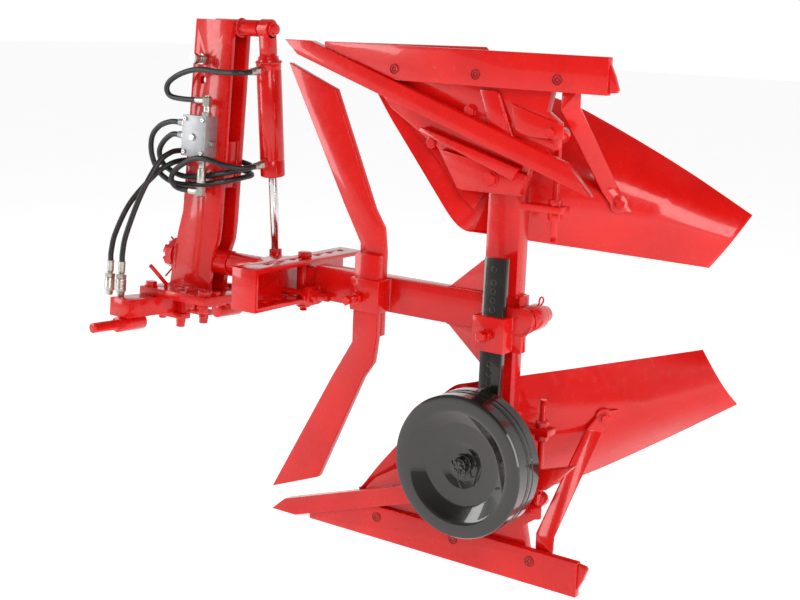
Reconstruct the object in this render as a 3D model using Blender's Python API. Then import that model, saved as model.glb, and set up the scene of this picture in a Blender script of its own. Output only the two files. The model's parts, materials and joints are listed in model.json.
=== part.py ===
"""Hydraulic turnover plough: one furrow each way, mounted on a tractor's three-point linkage.

Plough space: X runs rearward along the turnover shaft, Y to the far side, Z up, origin on the
shaft's axis under the mast. Body outlines give X and the distance from the shaft's plane, so
that one outline serves the upper and the lower body.
"""
import math

import bmesh
import bpy
from mathutils import Matrix, Vector

# ---- driving dimensions, metres ----
GAP = 0.0003                    # between pieces that touch
RUN = 0.0005                    # radial clearance of a running pin
AXIS_DROP = 0.570               # turnover shaft above the ground the plough stands on
HEAD_ROLL = math.radians(3.0)   # the headstock leans to the land side of the plough's frame
TUBE_HEIGHT = 0.080             # rectangular tube of beam and leg
TUBE_WIDTH = 0.040
TUBE_WALL = 0.006

# headstock
MAST_Z = 0.606
MAST_OUTER = 0.036              # half the width over the two mast plates
MAST_PLATE = 0.015
MAST_FRONT = [(-0.127, -0.0747), (-0.117, 0.010), (-0.106, 0.070), (-0.094, 0.120)]
MAST_TOP_FRONT = (-0.083, MAST_Z)
MAST_TOP_REAR = (0.037, MAST_Z)
MAST_REAR = [(0.030, 0.100), (0.027, 0.060), (0.014, 0.020), (0.006, -0.045), (0.006, -0.0747)]
BASE_TOP = -0.075
BASE_THICK = 0.020
BASE_FRONT = -0.150
BASE_REAR = 0.070
BASE_HALF = 0.120
SPACER_LOW = 0.190
SPACER_HIGH = 0.306
BEARING_RADIUS = 0.032
BEARING_FRONT = -0.124
BEARING_REAR = 0.052
SHAFT_RADIUS = 0.024
NUT_FLATS = 0.075
NUT_FRONT = -0.166
NUT_REAR = -0.129
LINK_BAR_FRONT = -0.150
LINK_BAR_REAR = -0.085
LINK_BAR_HEIGHT = 0.045
LINK_BAR_HALF = 0.220
LINK_BAR_WALL = 0.006
LINK_BOSS_RADIUS = 0.019
LINK_BOSS_INNER = 0.140
LINK_SHOULDER = 0.225
LINK_PIN_RADIUS = 0.0125
LINK_PIN_END = 0.305
CLAMP_OFFSET = 0.043            # strap bolts of the link bar either side of the middle
CLAMP_STRAP = 0.014
CLAMP_REACH = 0.018
TOP_LINK_X = -0.048
TOP_LINK_Z = 0.506
TOP_LINK_RADIUS = 0.0095
TOP_LINK_HEAD = 0.0135
ALT_HOLE_X = -0.050
ALT_HOLE_Z = 0.455
ALT_HOLE_RADIUS = 0.010
LOCK_PIN_X = -0.094
LOCK_PIN_Y = -0.084
LOCK_PIN_RADIUS = 0.005
VALVE_LOW = Vector((-0.070, -0.080, 0.264))
VALVE_HIGH = Vector((0.008, -MAST_OUTER - GAP, 0.366))
FITTING_Y = -0.066
FITTING_RADIUS = 0.0115
TOP_FITTING_X = -0.003
TOP_FITTING_Z = 0.404
LOW_FITTING_X = -0.010
LOW_FITTING_Z = 0.177
FITTING_REACH = 0.036           # elbow from its own axis to the hose
FITTING_BEYOND = 0.013
SUPPLY_PORTS = {"a": 0.345, "b": 0.314}
SUPPLY_REACH = 0.022
HOSE_RADIUS = 0.007
FERRULE_RADIUS = 0.009
COUPLER_RADIUS = 0.0135
COUPLER_LENGTH = 0.087

# cylinder and its crank
CYLINDER_X = 0.120
PIVOT_Z = 0.590
PIVOT_TUBE_RADIUS = 0.0205
PIVOT_TUBE_FRONT = -0.045
PIVOT_TUBE_REAR = 0.098
PIVOT_PIN_RADIUS = 0.0125
PIVOT_PIN_REAR = 0.150
PIVOT_WASHER = 0.018
EYE_WIDTH = 0.030
EYE_RADIUS = 0.024
BARREL_RADIUS = 0.031
BARREL_TOP = 0.070              # below the pivot
BARREL_BOTTOM = 0.366
ROD_RADIUS = 0.0115
ROD_EYE_RADIUS = 0.022
STROKE = 0.095
CRANK_RADIUS = 0.088
CRANK_PIN_RADIUS = 0.0125
CRANK_PLATE_FRONT = 0.158
CRANK_PLATE_REAR = 0.176
PORT_RADIUS = 0.011
PORT_OUT = 0.008
UPPER_PORT = 0.098              # below the pivot
LOWER_PORT = 0.331
PORT_FITTING = 0.032

# turning head and channel
HUB_RADIUS = 0.030
HUB_FRONT = 0.055
CHANNEL_FRONT = 0.258
CHANNEL_REAR = 0.329
CHANNEL_NEAR = -0.235
CHANNEL_FAR = 0.175
CHANNEL_HALF = 0.050
CHANNEL_WALL = 0.010
HOLE_PITCH = 0.047
HOLE_COUNT = 7
HOLE_RADIUS = 0.009
PIVOT_HOLE = 3                  # the beam's bolt sits in this hole, counted from the near end
HOLE_X = 0.294
GUSSET_HALF = 0.110
PIVOT_BOLT_HEAD = 0.017
BEAM_SLEEVE_RADIUS = 0.018
ADJUST_Y = -0.054
ADJUST_Z = -0.029
ADJUST_RADIUS = 0.009
ADJUST_LUG = 0.012

# beam and leg
BEAM_FRONT = 0.345
LEG_FRONT = 0.813
LEG_REAR = LEG_FRONT + TUBE_HEIGHT
LEG_END = 0.400
GUSSET_FRONT = 0.716
GUSSET_RISE = 0.124
GUSSET_PLATE = 0.012

# knife coulters
COULTER_WIDTH = 0.067
COULTER_FRONT = 0.489
COULTER_THICK = 0.018
COULTER_CLAMP_WALL = 0.006
CLAMP_HALF = 0.038
COULTER_OUTLINE = [(0.489, 0.115), (0.438, 0.200), (0.262, 0.516), (0.401, 0.462), (0.521, 0.197),
                   (0.549, 0.155), (0.556, 0.100)]

# wheel and its arm
ARM_PIVOT_X = 0.923
ARM_PIN_RADIUS = 0.019
ARM_SLEEVE_RADIUS = 0.029
ARM_SLEEVE_NEAR = -0.040
ARM_SLEEVE_FAR = 0.012
ARM_PIN_FAR = 0.048
STRUT_X = 0.866
STRUT_WIDTH = 0.050
STRUT_THICK = 0.020
STRUT_FAR = -0.064
STRUT_TOP = 0.132
ARM_BOX_TOP = 0.006
ARM_BOX_BOTTOM = -0.070
ARM_BOX_WALL = 0.014
WHEEL_Z = -0.302
WHEEL_RADIUS = 0.155
WHEEL_NEAR = -0.204
WHEEL_FAR = -0.114
WHEEL_BORE = 0.019

# bodies
FROG_NEAR = -0.0557
FROG_FAR = -0.0343
BAR_NEAR = -0.081
BAR_START = (0.475, 0.482)      # a point of the point bar's inner edge, then its slope
BAR_SLOPE = 0.326
BAR_HEIGHT = 0.042
BAR_TIP_X = 0.268
BAR_END_X = 1.079
LANDSIDE_NEAR = -0.074
LANDSIDE_REAR = 1.100
LANDSIDE_FRONT = 0.380
LANDSIDE_HEIGHT = 0.077
SHARE_POINT = Vector((0.385, -0.060, AXIS_DROP))
SHARE_WING = Vector((0.620, 0.225, AXIS_DROP))
SHARE_RISE = Vector((0.120, 0.005, -0.090))
SHARE_TOP_RATIO = 0.93
SHARE_THICK = 0.010
MOLDBOARD_THICK = 0.006
MOLDBOARD_BULGE = 0.050
COLUMNS = 24                    # the moldboard's facets along and down
ROWS = 10
TOP_RAIL = [(0.510, -0.048, 0.470), (0.562, -0.048, 0.400), (0.640, -0.048, 0.308),
            (0.738, -0.046, 0.190), (0.782, -0.004, 0.170), (0.869, 0.076, 0.154),
            (0.992, 0.204, 0.131), (1.160, 0.374, 0.099)]
BOTTOM_RAIL = [(0.507, -0.048, 0.4735), (0.620, 0.085, 0.4735), (0.722, 0.210, 0.4735),
               (0.850, 0.220, 0.452), (0.946, 0.258, 0.407), (1.083, 0.343, 0.320),
               (1.233, 0.422, 0.218)]
FROG_OUTLINE = [(0.440, 0.562), (0.560, 0.430), (0.690, 0.352), (0.745, 0.268), (0.905, 0.270),
                (0.925, 0.345), (0.986, 0.375), (0.986, 0.428), (0.955, 0.450), (0.980, 0.562)]
PITCH_X = 0.967
PITCH_EYE = 0.400
PITCH_TOP = 0.183
PITCH_RADIUS = 0.0075
PITCH_Y = -0.016
LUG_INNER = 0.236
LUG_OUTER = 0.250
LUG_REAR = 0.990
BRACE_FOOT = Vector((1.008, -0.0500, 0.500))
BRACE_PLACE = (0.80, 0.42)      # where the brace meets the moldboard, along it and down it
BRACE_HALF = 0.020
BRACE_PAD = 0.040
BRACE_THICK = 0.008

# hoses: points between their fittings
HOSE_UPPER_POINTS = [(0.106, -0.0905, 0.479), (0.078, -0.091, 0.477), (0.030, -0.078, 0.478),
                     (-0.040, -0.067, 0.480), (-0.095, -0.066, 0.467), (-0.132, -0.068, 0.446),
                     (-0.142, -0.068, 0.426), (-0.130, -0.067, 0.409), (-0.095, -0.066, 0.404)]
HOSE_LOWER_POINTS = [(0.108, -0.062, 0.247), (0.090, -0.077, 0.250), (0.062, -0.090, 0.256),
                     (0.032, -0.097, 0.263), (-0.004, -0.098, 0.262), (-0.040, -0.096, 0.248),
                     (-0.076, -0.091, 0.226), (-0.096, -0.083, 0.203), (-0.093, -0.073, 0.185),
                     (-0.076, -0.067, 0.178)]
SUPPLY_A_POINTS = [(-0.124, -0.066, 0.344), (-0.162, -0.066, 0.330), (-0.187, -0.066, 0.300),
                   (-0.184, -0.066, 0.255), (-0.158, -0.062, 0.212), (-0.114, -0.054, 0.190),
                   (-0.060, -0.0455, 0.190), (-0.010, -0.0445, 0.197), (0.030, -0.0445, 0.205),
                   (0.060, -0.043, 0.212), (0.070, 0.000, 0.220), (0.060, 0.043, 0.226),
                   (0.010, 0.0475, 0.236), (-0.055, 0.0480, 0.246), (-0.099, 0.042, 0.250),
                   (-0.111, 0.012, 0.248), (-0.109, -0.040, 0.246), (-0.114, -0.075, 0.236),
                   (-0.138, -0.102, 0.206), (-0.168, -0.150, 0.136), (-0.182, -0.182, 0.060)]
SUPPLY_B_POINTS = [(-0.118, -0.066, 0.312), (-0.146, -0.067, 0.290), (-0.157, -0.067, 0.262),
                   (-0.141, -0.063, 0.232), (-0.100, -0.053, 0.212), (-0.060, -0.0455, 0.210),
                   (-0.010, -0.0445, 0.218), (0.030, -0.0445, 0.226), (0.060, -0.043, 0.233),
                   (0.070, 0.000, 0.240), (0.060, 0.043, 0.246), (0.010, 0.0475, 0.256),
                   (-0.055, 0.0480, 0.266), (-0.098, 0.043, 0.271), (-0.110, 0.012, 0.272),
                   (-0.110, -0.040, 0.272), (-0.112, -0.075, 0.266), (-0.117, -0.110, 0.240),
                   (-0.132, -0.150, 0.160), (-0.144, -0.182, 0.062)]
COUPLER_TOPS = {"a": Vector((-0.186, -0.190, -0.010)), "b": Vector((-0.146, -0.190, -0.008))}
HOSE_STEP = 0.022


# ---- scene, finishes and shape helpers ----
def clear_scene():
    for obj in list(bpy.data.objects):
        bpy.data.objects.remove(obj, do_unlink=True)


def finish(name, colour, roughness, metallic=0.0):
    material = bpy.data.materials.new(name)
    material.use_nodes = True
    shader = material.node_tree.nodes["Principled BSDF"]
    shader.inputs["Base Color"].default_value = (*colour, 1.0)
    shader.inputs["Roughness"].default_value = roughness
    shader.inputs["Metallic"].default_value = metallic
    return material


def empty(name, parent=None, place=(0.0, 0.0, 0.0), turn=(0.0, 0.0, 0.0)):
    obj = bpy.data.objects.new(name, None)
    bpy.context.collection.objects.link(obj)
    obj.parent = parent
    obj.location = place
    obj.rotation_euler = turn
    return obj


def solid(name, shape, material, parent):
    bmesh.ops.recalc_face_normals(shape, faces=shape.faces)
    mesh = bpy.data.meshes.new(name)
    shape.to_mesh(mesh)
    shape.free()
    mesh.materials.append(material)
    obj = bpy.data.objects.new(name, mesh)
    bpy.context.collection.objects.link(obj)
    obj.parent = parent
    return obj


def combine(target, operation, *shapes):
    """Unite the target with, or cut it by, each shape, through exact Boolean modifiers."""
    for shape in shapes:
        tool = solid(f"{target.name}_{operation.lower()}", shape, target.active_material, target.parent)
        tool.hide_render = True
        tool.display_type = 'WIRE'
        modifier = target.modifiers.new(operation.lower(), 'BOOLEAN')
        modifier.operation = operation
        modifier.solver = 'EXACT'
        modifier.object = tool
    return target


def add(target, *shapes):
    return combine(target, 'UNION', *shapes)


def cut(target, *shapes):
    return combine(target, 'DIFFERENCE', *shapes)


def block(low, high):
    shape = bmesh.new()
    bmesh.ops.create_cube(shape, size=1.0)
    low, high = Vector(low), Vector(high)
    size = high - low
    bmesh.ops.scale(shape, vec=size, verts=shape.verts)
    bmesh.ops.translate(shape, vec=(low + high) / 2.0, verts=shape.verts)
    return shape


AXES = {"X": Matrix.Rotation(math.pi / 2.0, 4, 'Y'), "Y": Matrix.Rotation(-math.pi / 2.0, 4, 'X'),
        "Z": Matrix.Identity(4)}


def bar(axis, centre, start, end, radius, end_radius=None, segments=24):
    """A round or many-sided bar along an axis, from start to end, about a centre line."""
    shape = bmesh.new()
    index = "XYZ".index(axis)
    middle = Vector(centre)
    middle[index] = (start + end) / 2.0
    bmesh.ops.create_cone(shape, cap_ends=True, segments=segments, radius1=radius,
                          radius2=radius if end_radius is None else end_radius,
                          depth=end - start, matrix=Matrix.Translation(middle) @ AXES[axis])
    return shape


def plate(outline, near, far, flip=1.0):
    """A plate in the X-Z plane, between two Y values."""
    shape = bmesh.new()
    corners = [shape.verts.new((x, near, flip * z)) for x, z in outline]
    face = shape.faces.new(corners)
    pushed = bmesh.ops.extrude_face_region(shape, geom=[face])
    moved = [item for item in pushed["geom"] if isinstance(item, bmesh.types.BMVert)]
    bmesh.ops.translate(shape, vec=(0.0, far - near, 0.0), verts=moved)
    return shape


def flat_plate(outline, low, high):
    """A plate in the X-Y plane, between two Z values."""
    shape = bmesh.new()
    corners = [shape.verts.new((x, y, low)) for x, y in outline]
    face = shape.faces.new(corners)
    pushed = bmesh.ops.extrude_face_region(shape, geom=[face])
    moved = [item for item in pushed["geom"] if isinstance(item, bmesh.types.BMVert)]
    bmesh.ops.translate(shape, vec=(0.0, 0.0, high - low), verts=moved)
    return shape


def lathe(profile, axis_point, segments=40):
    """Spin a closed (radius, y) profile about the Y line through axis_point."""
    shape = bmesh.new()
    centre = Vector(axis_point)
    ring = [shape.verts.new(centre + Vector((radius, y, 0.0))) for radius, y in profile]
    edges = [shape.edges.new((ring[i], ring[(i + 1) % len(ring)])) for i in range(len(ring))]
    bmesh.ops.spin(shape, geom=ring + edges, cent=centre, axis=(0.0, 1.0, 0.0),
                   angle=2.0 * math.pi, steps=segments)
    bmesh.ops.remove_doubles(shape, verts=shape.verts, dist=0.00005)
    return shape


def smooth_route(points, step):
    """Points at an even step along a Catmull-Rom curve through the chosen points."""
    chosen = [Vector(point) for point in points]
    chosen = [2.0 * chosen[0] - chosen[1]] + chosen + [2.0 * chosen[-1] - chosen[-2]]
    fine = []
    for i in range(1, len(chosen) - 2):
        a, b, c, d = chosen[i - 1:i + 3]
        for k in range(16):
            t = k / 16.0
            fine.append(0.5 * (2.0 * b + (c - a) * t + (2.0 * a - 5.0 * b + 4.0 * c - d) * t * t
                               + (3.0 * b - a - 3.0 * c + d) * t ** 3))
    fine.append(chosen[-2])
    lengths = [0.0]
    for a, b in zip(fine, fine[1:]):
        lengths.append(lengths[-1] + (b - a).length)
    count = max(2, round(lengths[-1] / step))
    route = []
    index = 0
    for k in range(count + 1):
        wanted = lengths[-1] * k / count
        while index < len(fine) - 2 and lengths[index + 1] < wanted:
            index += 1
        share = (wanted - lengths[index]) / (lengths[index + 1] - lengths[index])
        route.append(fine[index].lerp(fine[index + 1], share))
    return route


def hose(name, points, material, parent):
    curve = bpy.data.curves.new(name, 'CURVE')
    curve.dimensions = '3D'
    curve.bevel_depth = HOSE_RADIUS
    curve.bevel_resolution = 3
    curve.use_fill_caps = True
    route = smooth_route(points, HOSE_STEP)
    spline = curve.splines.new('POLY')
    spline.points.add(len(route) - 1)
    for target, point in zip(spline.points, route):
        target.co = (*point, 1.0)
    curve.materials.append(material)
    obj = bpy.data.objects.new(name, curve)
    bpy.context.collection.objects.link(obj)
    obj.parent = parent
    return obj


# ---- headstock ----
def build_mast(parent, red):
    outline = MAST_FRONT + [MAST_TOP_FRONT, MAST_TOP_REAR] + MAST_REAR
    inner = MAST_OUTER - MAST_PLATE
    for name, low, high in (("mast_plate_near", -MAST_OUTER, -inner), ("mast_plate_far", inner, MAST_OUTER)):
        mast = solid(name, plate(outline, low, high), red, parent)
        cut(mast,
            bar("X", (0.0, 0.0, 0.0), -1.0, 1.0, BEARING_RADIUS + GAP),
            bar("Y", (TOP_LINK_X, 0.0, TOP_LINK_Z), -1.0, 1.0, TOP_LINK_RADIUS + GAP),
            bar("Y", (ALT_HOLE_X, 0.0, ALT_HOLE_Z), -1.0, 1.0, ALT_HOLE_RADIUS))
    spacer_outline = [(-0.086, SPACER_LOW), (0.026, SPACER_LOW), (0.028, SPACER_HIGH), (-0.084, SPACER_HIGH)]
    solid("mast_spacer", plate(spacer_outline, GAP - inner, inner - GAP), red, parent)
    tube = solid("pivot_tube", bar("X", (0.0, 0.0, PIVOT_Z), PIVOT_TUBE_FRONT, PIVOT_TUBE_REAR,
                                   PIVOT_TUBE_RADIUS), red, parent)
    cut(tube, bar("X", (0.0, 0.0, PIVOT_Z), -1.0, 1.0, PIVOT_PIN_RADIUS + GAP))
    bearing = solid("turnover_bearing", bar("X", (0.0, 0.0, 0.0), BEARING_FRONT, BEARING_REAR,
                                            BEARING_RADIUS), red, parent)
    cut(bearing, bar("X", (0.0, 0.0, 0.0), -1.0, 1.0, SHAFT_RADIUS + RUN))


def build_cylinder_pin(parent, red):
    eye_rear = CYLINDER_X + EYE_WIDTH / 2.0
    pin = solid("cylinder_pin", bar("X", (0.0, 0.0, PIVOT_Z), PIVOT_TUBE_FRONT, PIVOT_PIN_REAR,
                                    PIVOT_PIN_RADIUS), red, parent)
    add(pin, bar("X", (0.0, 0.0, PIVOT_Z), eye_rear + RUN, eye_rear + 0.006, PIVOT_WASHER),
        bar("X", (0.0, 0.0, PIVOT_Z), PIVOT_TUBE_REAR + GAP, CYLINDER_X - EYE_WIDTH / 2.0 - RUN,
            PIVOT_WASHER))


def build_base(parent, red, zinc):
    bottom = BASE_TOP - BASE_THICK
    base = solid("base_plate", block((BASE_FRONT, -BASE_HALF, bottom), (BASE_REAR, BASE_HALF, BASE_TOP)),
                 red, parent)
    cut(base, bar("Z", (LOCK_PIN_X, LOCK_PIN_Y, 0.0), -1.0, 1.0, LOCK_PIN_RADIUS + GAP),
        bar("Z", (-0.046, -0.065, 0.0), -1.0, 1.0, 0.008),
        bar("Z", (-0.046, 0.065, 0.0), -1.0, 1.0, 0.008))
    bar_top = bottom - GAP
    bar_bottom = bar_top - LINK_BAR_HEIGHT
    link_bar = solid("lower_link_bar", block((LINK_BAR_FRONT, -LINK_BAR_HALF, bar_bottom),
                                             (LINK_BAR_REAR, LINK_BAR_HALF, bar_top)), red, parent)
    inset = LINK_BAR_WALL
    cut(link_bar, block((LINK_BAR_FRONT + inset, -LINK_BAR_HALF + inset, bar_bottom + inset),
                        (LINK_BAR_REAR - inset, LINK_BAR_HALF - inset, bar_top - inset)),
        bar("Z", (LOCK_PIN_X, LOCK_PIN_Y, 0.0), bar_top - 2.0 * inset, bar_top + inset,
            LOCK_PIN_RADIUS + GAP))
    build_link_pins(parent, red, bar_bottom)
    build_bar_clamp(parent, red, bottom, bar_bottom)
    build_lock_pin(parent, red)
    pin = solid("top_link_pin", bar("Y", (TOP_LINK_X, 0.0, TOP_LINK_Z), -0.070, MAST_OUTER + 0.020,
                                    TOP_LINK_RADIUS), zinc, parent)
    add(pin, bar("Y", (TOP_LINK_X, 0.0, TOP_LINK_Z), -0.080, -0.066, TOP_LINK_HEAD),
        bar("Y", (TOP_LINK_X, 0.0, TOP_LINK_Z), -MAST_OUTER - 0.012, -MAST_OUTER - GAP, TOP_LINK_HEAD))


def build_link_pins(parent, red, bar_bottom):
    centre_x = (LINK_BAR_FRONT + LINK_BAR_REAR) / 2.0
    centre = (centre_x, 0.0, bar_bottom - GAP - LINK_BOSS_RADIUS)
    for name, sign in (("link_pin_near", -1.0), ("link_pin_far", 1.0)):
        boss = sorted((sign * LINK_BOSS_INNER, sign * LINK_SHOULDER))
        shank = sorted((sign * (LINK_SHOULDER - 0.002), sign * LINK_PIN_END))
        pin = solid(name, bar("Y", centre, *boss, LINK_BOSS_RADIUS), red, parent)
        add(pin, bar("Y", centre, *shank, LINK_PIN_RADIUS))
        cut(pin, bar("Z", (centre_x, sign * (LINK_PIN_END - 0.018), 0.0), -1.0, 1.0, 0.005))


def build_bar_clamp(parent, red, base_bottom, bar_bottom):
    """Straps under the link bar, each hung from the base plate by a stud behind the bar."""
    stud_x = LINK_BAR_REAR + CLAMP_REACH / 2.0 + GAP
    for name, y in (("bar_clamp_near", -CLAMP_OFFSET), ("bar_clamp_far", CLAMP_OFFSET)):
        half = CLAMP_REACH / 2.0
        strap_top = bar_bottom - GAP
        stud = solid(name, block((stud_x - half, y - half, strap_top - CLAMP_STRAP),
                                 (stud_x + half, y + half, base_bottom - GAP)), red, parent)
        add(stud, block((LINK_BAR_FRONT, y - 1.8 * half, strap_top - CLAMP_STRAP),
                        (stud_x + 2.0 * half, y + 1.8 * half, strap_top)),
            bar("Z", (stud_x, y, 0.0), strap_top - CLAMP_STRAP - 0.022, strap_top - CLAMP_STRAP + 0.002,
                0.012, segments=6))


def build_lock_pin(parent, red):
    """A pin with a bent handle, dropped through the base plate into the link bar."""
    base_bottom = BASE_TOP - BASE_THICK
    turn = 0.045
    drop = bar("Z", (LOCK_PIN_X, LOCK_PIN_Y, 0.0), base_bottom - 0.010, BASE_TOP + 0.012, LOCK_PIN_RADIUS,
               segments=16)
    handle = bar("Z", (0.0, 0.0, 0.0), -0.004, 0.074, LOCK_PIN_RADIUS, segments=16)
    tilt = Matrix.Translation((LOCK_PIN_X, LOCK_PIN_Y, BASE_TOP + 0.010))
    tilt = tilt @ Matrix.Rotation(math.radians(48.0), 4, 'X') @ Matrix.Rotation(-turn, 4, 'Y')
    bmesh.ops.transform(handle, matrix=tilt, verts=handle.verts)
    add(solid("lock_pin", drop, red, parent), handle)


def build_valve(parent, grey, zinc):
    valve = solid("valve_block", block(VALVE_LOW, VALVE_HIGH), grey, parent)
    for height in SUPPLY_PORTS.values():
        add(valve, bar("X", (0.0, FITTING_Y, height), VALVE_LOW.x - SUPPLY_REACH, VALVE_LOW.x + 0.004,
                       FERRULE_RADIUS))
    places = (("valve_fitting_top", TOP_FITTING_X, TOP_FITTING_Z, VALVE_HIGH.z + GAP,
               TOP_FITTING_Z + FITTING_BEYOND),
              ("valve_fitting_bottom", LOW_FITTING_X, LOW_FITTING_Z, LOW_FITTING_Z - FITTING_BEYOND,
               VALVE_LOW.z - GAP))
    for name, x, z, low, high in places:
        fitting = solid(name, bar("Z", (x, FITTING_Y, 0.0), low, high, FITTING_RADIUS), zinc, parent)
        add(fitting, bar("X", (0.0, FITTING_Y, z), x - FITTING_REACH, x, FERRULE_RADIUS))


def crank_reach():
    """The cylinder's lean from the headstock's upright, and its length between eyes."""
    crank = Matrix.Rotation(HEAD_ROLL, 4, 'X') @ Vector((CYLINDER_X, CRANK_RADIUS, 0.0))
    reach = Vector((crank.y, PIVOT_Z - crank.z))
    return math.atan2(reach.x, reach.y), reach.length


def port_mouth(depth, beyond):
    """A point in line with a cylinder port, in the headstock's space."""
    out = -BARREL_RADIUS - PORT_OUT - PORT_FITTING - 4.0 * GAP - beyond
    lean = Matrix.Rotation(crank_reach()[0], 4, 'X')
    return Vector((CYLINDER_X, 0.0, PIVOT_Z)) + lean @ Vector((0.0, out, -depth))


def build_hoses(parent, rubber, zinc):
    lead = 0.022
    for name, depth, points, x, z in (
            ("hose_upper", UPPER_PORT, HOSE_UPPER_POINTS, TOP_FITTING_X, TOP_FITTING_Z),
            ("hose_lower", LOWER_PORT, HOSE_LOWER_POINTS, LOW_FITTING_X, LOW_FITTING_Z)):
        start = [port_mouth(depth, 0.0), port_mouth(depth, lead)]
        end = (x - FITTING_REACH - GAP, FITTING_Y, z)
        hose(name, start + points + [end], rubber, parent)
    for name, points in (("a", SUPPLY_A_POINTS), ("b", SUPPLY_B_POINTS)):
        start = (VALVE_LOW.x - SUPPLY_REACH - GAP, FITTING_Y, SUPPLY_PORTS[name])
        x, y, z = COUPLER_TOPS[name]
        end = [(x, y, z + lead), (x, y, z + GAP)]
        hose(f"supply_hose_{name}", [start] + points + end, rubber, parent)
        coupler = solid(f"coupler_{name}", bar("Z", (x, y, 0.0), z - COUPLER_LENGTH, z, FERRULE_RADIUS),
                        zinc, parent)
        add(coupler, bar("Z", (x, y, 0.0), z - 0.078, z - 0.036, COUPLER_RADIUS))


# ---- cylinder ----
def build_cylinder(headstock, red, zinc, chrome):
    lean, length = crank_reach()
    pivot = empty("cylinder_swing", headstock, (CYLINDER_X, 0.0, PIVOT_Z), (lean, 0.0, 0.0))
    half = EYE_WIDTH / 2.0
    origin = (0.0, 0.0, 0.0)
    barrel = solid("cylinder_barrel", bar("Z", origin, -BARREL_BOTTOM, -BARREL_TOP, BARREL_RADIUS,
                                          segments=40), red, pivot)
    neck = [(-half, -BARREL_TOP - 0.004), (half, -BARREL_TOP - 0.004), (half, -0.004), (-half, -0.004)]
    add(barrel, plate(neck, -EYE_RADIUS * 0.72, EYE_RADIUS * 0.72), bar("X", origin, -half, half, EYE_RADIUS))
    for depth in (UPPER_PORT, LOWER_PORT):
        add(barrel, bar("Y", (0.0, 0.0, -depth), -BARREL_RADIUS - PORT_OUT, -BARREL_RADIUS + 0.010,
                        PORT_RADIUS))
    cut(barrel, bar("X", origin, -1.0, 1.0, PIVOT_PIN_RADIUS + RUN),
        bar("Z", origin, -BARREL_BOTTOM - 0.1, -BARREL_BOTTOM + STROKE + 0.030, ROD_RADIUS + RUN))
    for name, depth in (("port_fitting_upper", UPPER_PORT), ("port_fitting_lower", LOWER_PORT)):
        start = -BARREL_RADIUS - PORT_OUT - GAP
        solid(name, bar("Y", (0.0, 0.0, -depth), start - PORT_FITTING, start, FERRULE_RADIUS),
              zinc, pivot)
    slide = empty("rod_slide", pivot, (0.0, 0.0, -length))
    eye_top = ROD_EYE_RADIUS + 0.014
    rod_top = length - BARREL_BOTTOM + STROKE * 0.25
    solid("cylinder_rod", bar("Z", origin, eye_top + GAP, rod_top, ROD_RADIUS, segments=32), chrome, slide)
    eye = solid("rod_eye", bar("X", origin, -half, half, ROD_EYE_RADIUS), red, slide)
    add(eye, bar("Z", origin, 0.0, eye_top, 0.016),
        bar("X", origin, -half - 0.006, half + 0.005, CRANK_PIN_RADIUS))


# ---- turning head, channel, beam and leg ----
def build_turning_head(parent, red):
    origin = (0.0, 0.0, 0.0)
    shaft = solid("turnover_shaft", bar("X", origin, NUT_FRONT + 0.004, HUB_FRONT - GAP, SHAFT_RADIUS),
                  red, parent)
    cut(shaft, bar("Z", (NUT_FRONT + 0.012, 0.0, 0.0), -1.0, 1.0, 0.003, segments=12))
    nut = solid("shaft_nut", bar("X", origin, NUT_FRONT + 0.006, NUT_REAR, NUT_FLATS / math.sqrt(3.0),
                                 segments=6), red, parent)
    add(nut, bar("X", origin, NUT_REAR - 0.004, BEARING_FRONT - 0.001, 0.040))
    cut(nut, bar("X", origin, -1.0, 1.0, SHAFT_RADIUS + GAP))
    head = solid("turning_head", bar("X", origin, HUB_FRONT, CHANNEL_FRONT - GAP, HUB_RADIUS), red, parent)
    wing = [(CRANK_PLATE_FRONT, -HUB_RADIUS), (CHANNEL_FRONT - GAP, -GUSSET_HALF),
            (CHANNEL_FRONT - GAP, GUSSET_HALF), (CRANK_PLATE_FRONT, HUB_RADIUS)]
    for sign in (-1.0, 1.0):
        low, high = sorted((sign * 0.020, sign * 0.032))
        add(head, flat_plate(wing, low, high))
    add(head, block((CRANK_PLATE_FRONT, 0.0, -ROD_EYE_RADIUS),
                    (CRANK_PLATE_REAR, CRANK_RADIUS, ROD_EYE_RADIUS)),
        bar("X", (0.0, CRANK_RADIUS, 0.0), CRANK_PLATE_FRONT, CRANK_PLATE_REAR, ROD_EYE_RADIUS),
        bar("X", (0.0, CRANK_RADIUS, 0.0), CYLINDER_X + EYE_WIDTH / 2.0 + 0.006, CRANK_PLATE_FRONT + 0.004,
            CRANK_PIN_RADIUS))


def hole_y(index):
    middle = (CHANNEL_NEAR + CHANNEL_FAR) / 2.0 + 0.016
    return middle + (index - (HOLE_COUNT - 1) / 2.0) * HOLE_PITCH


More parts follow.
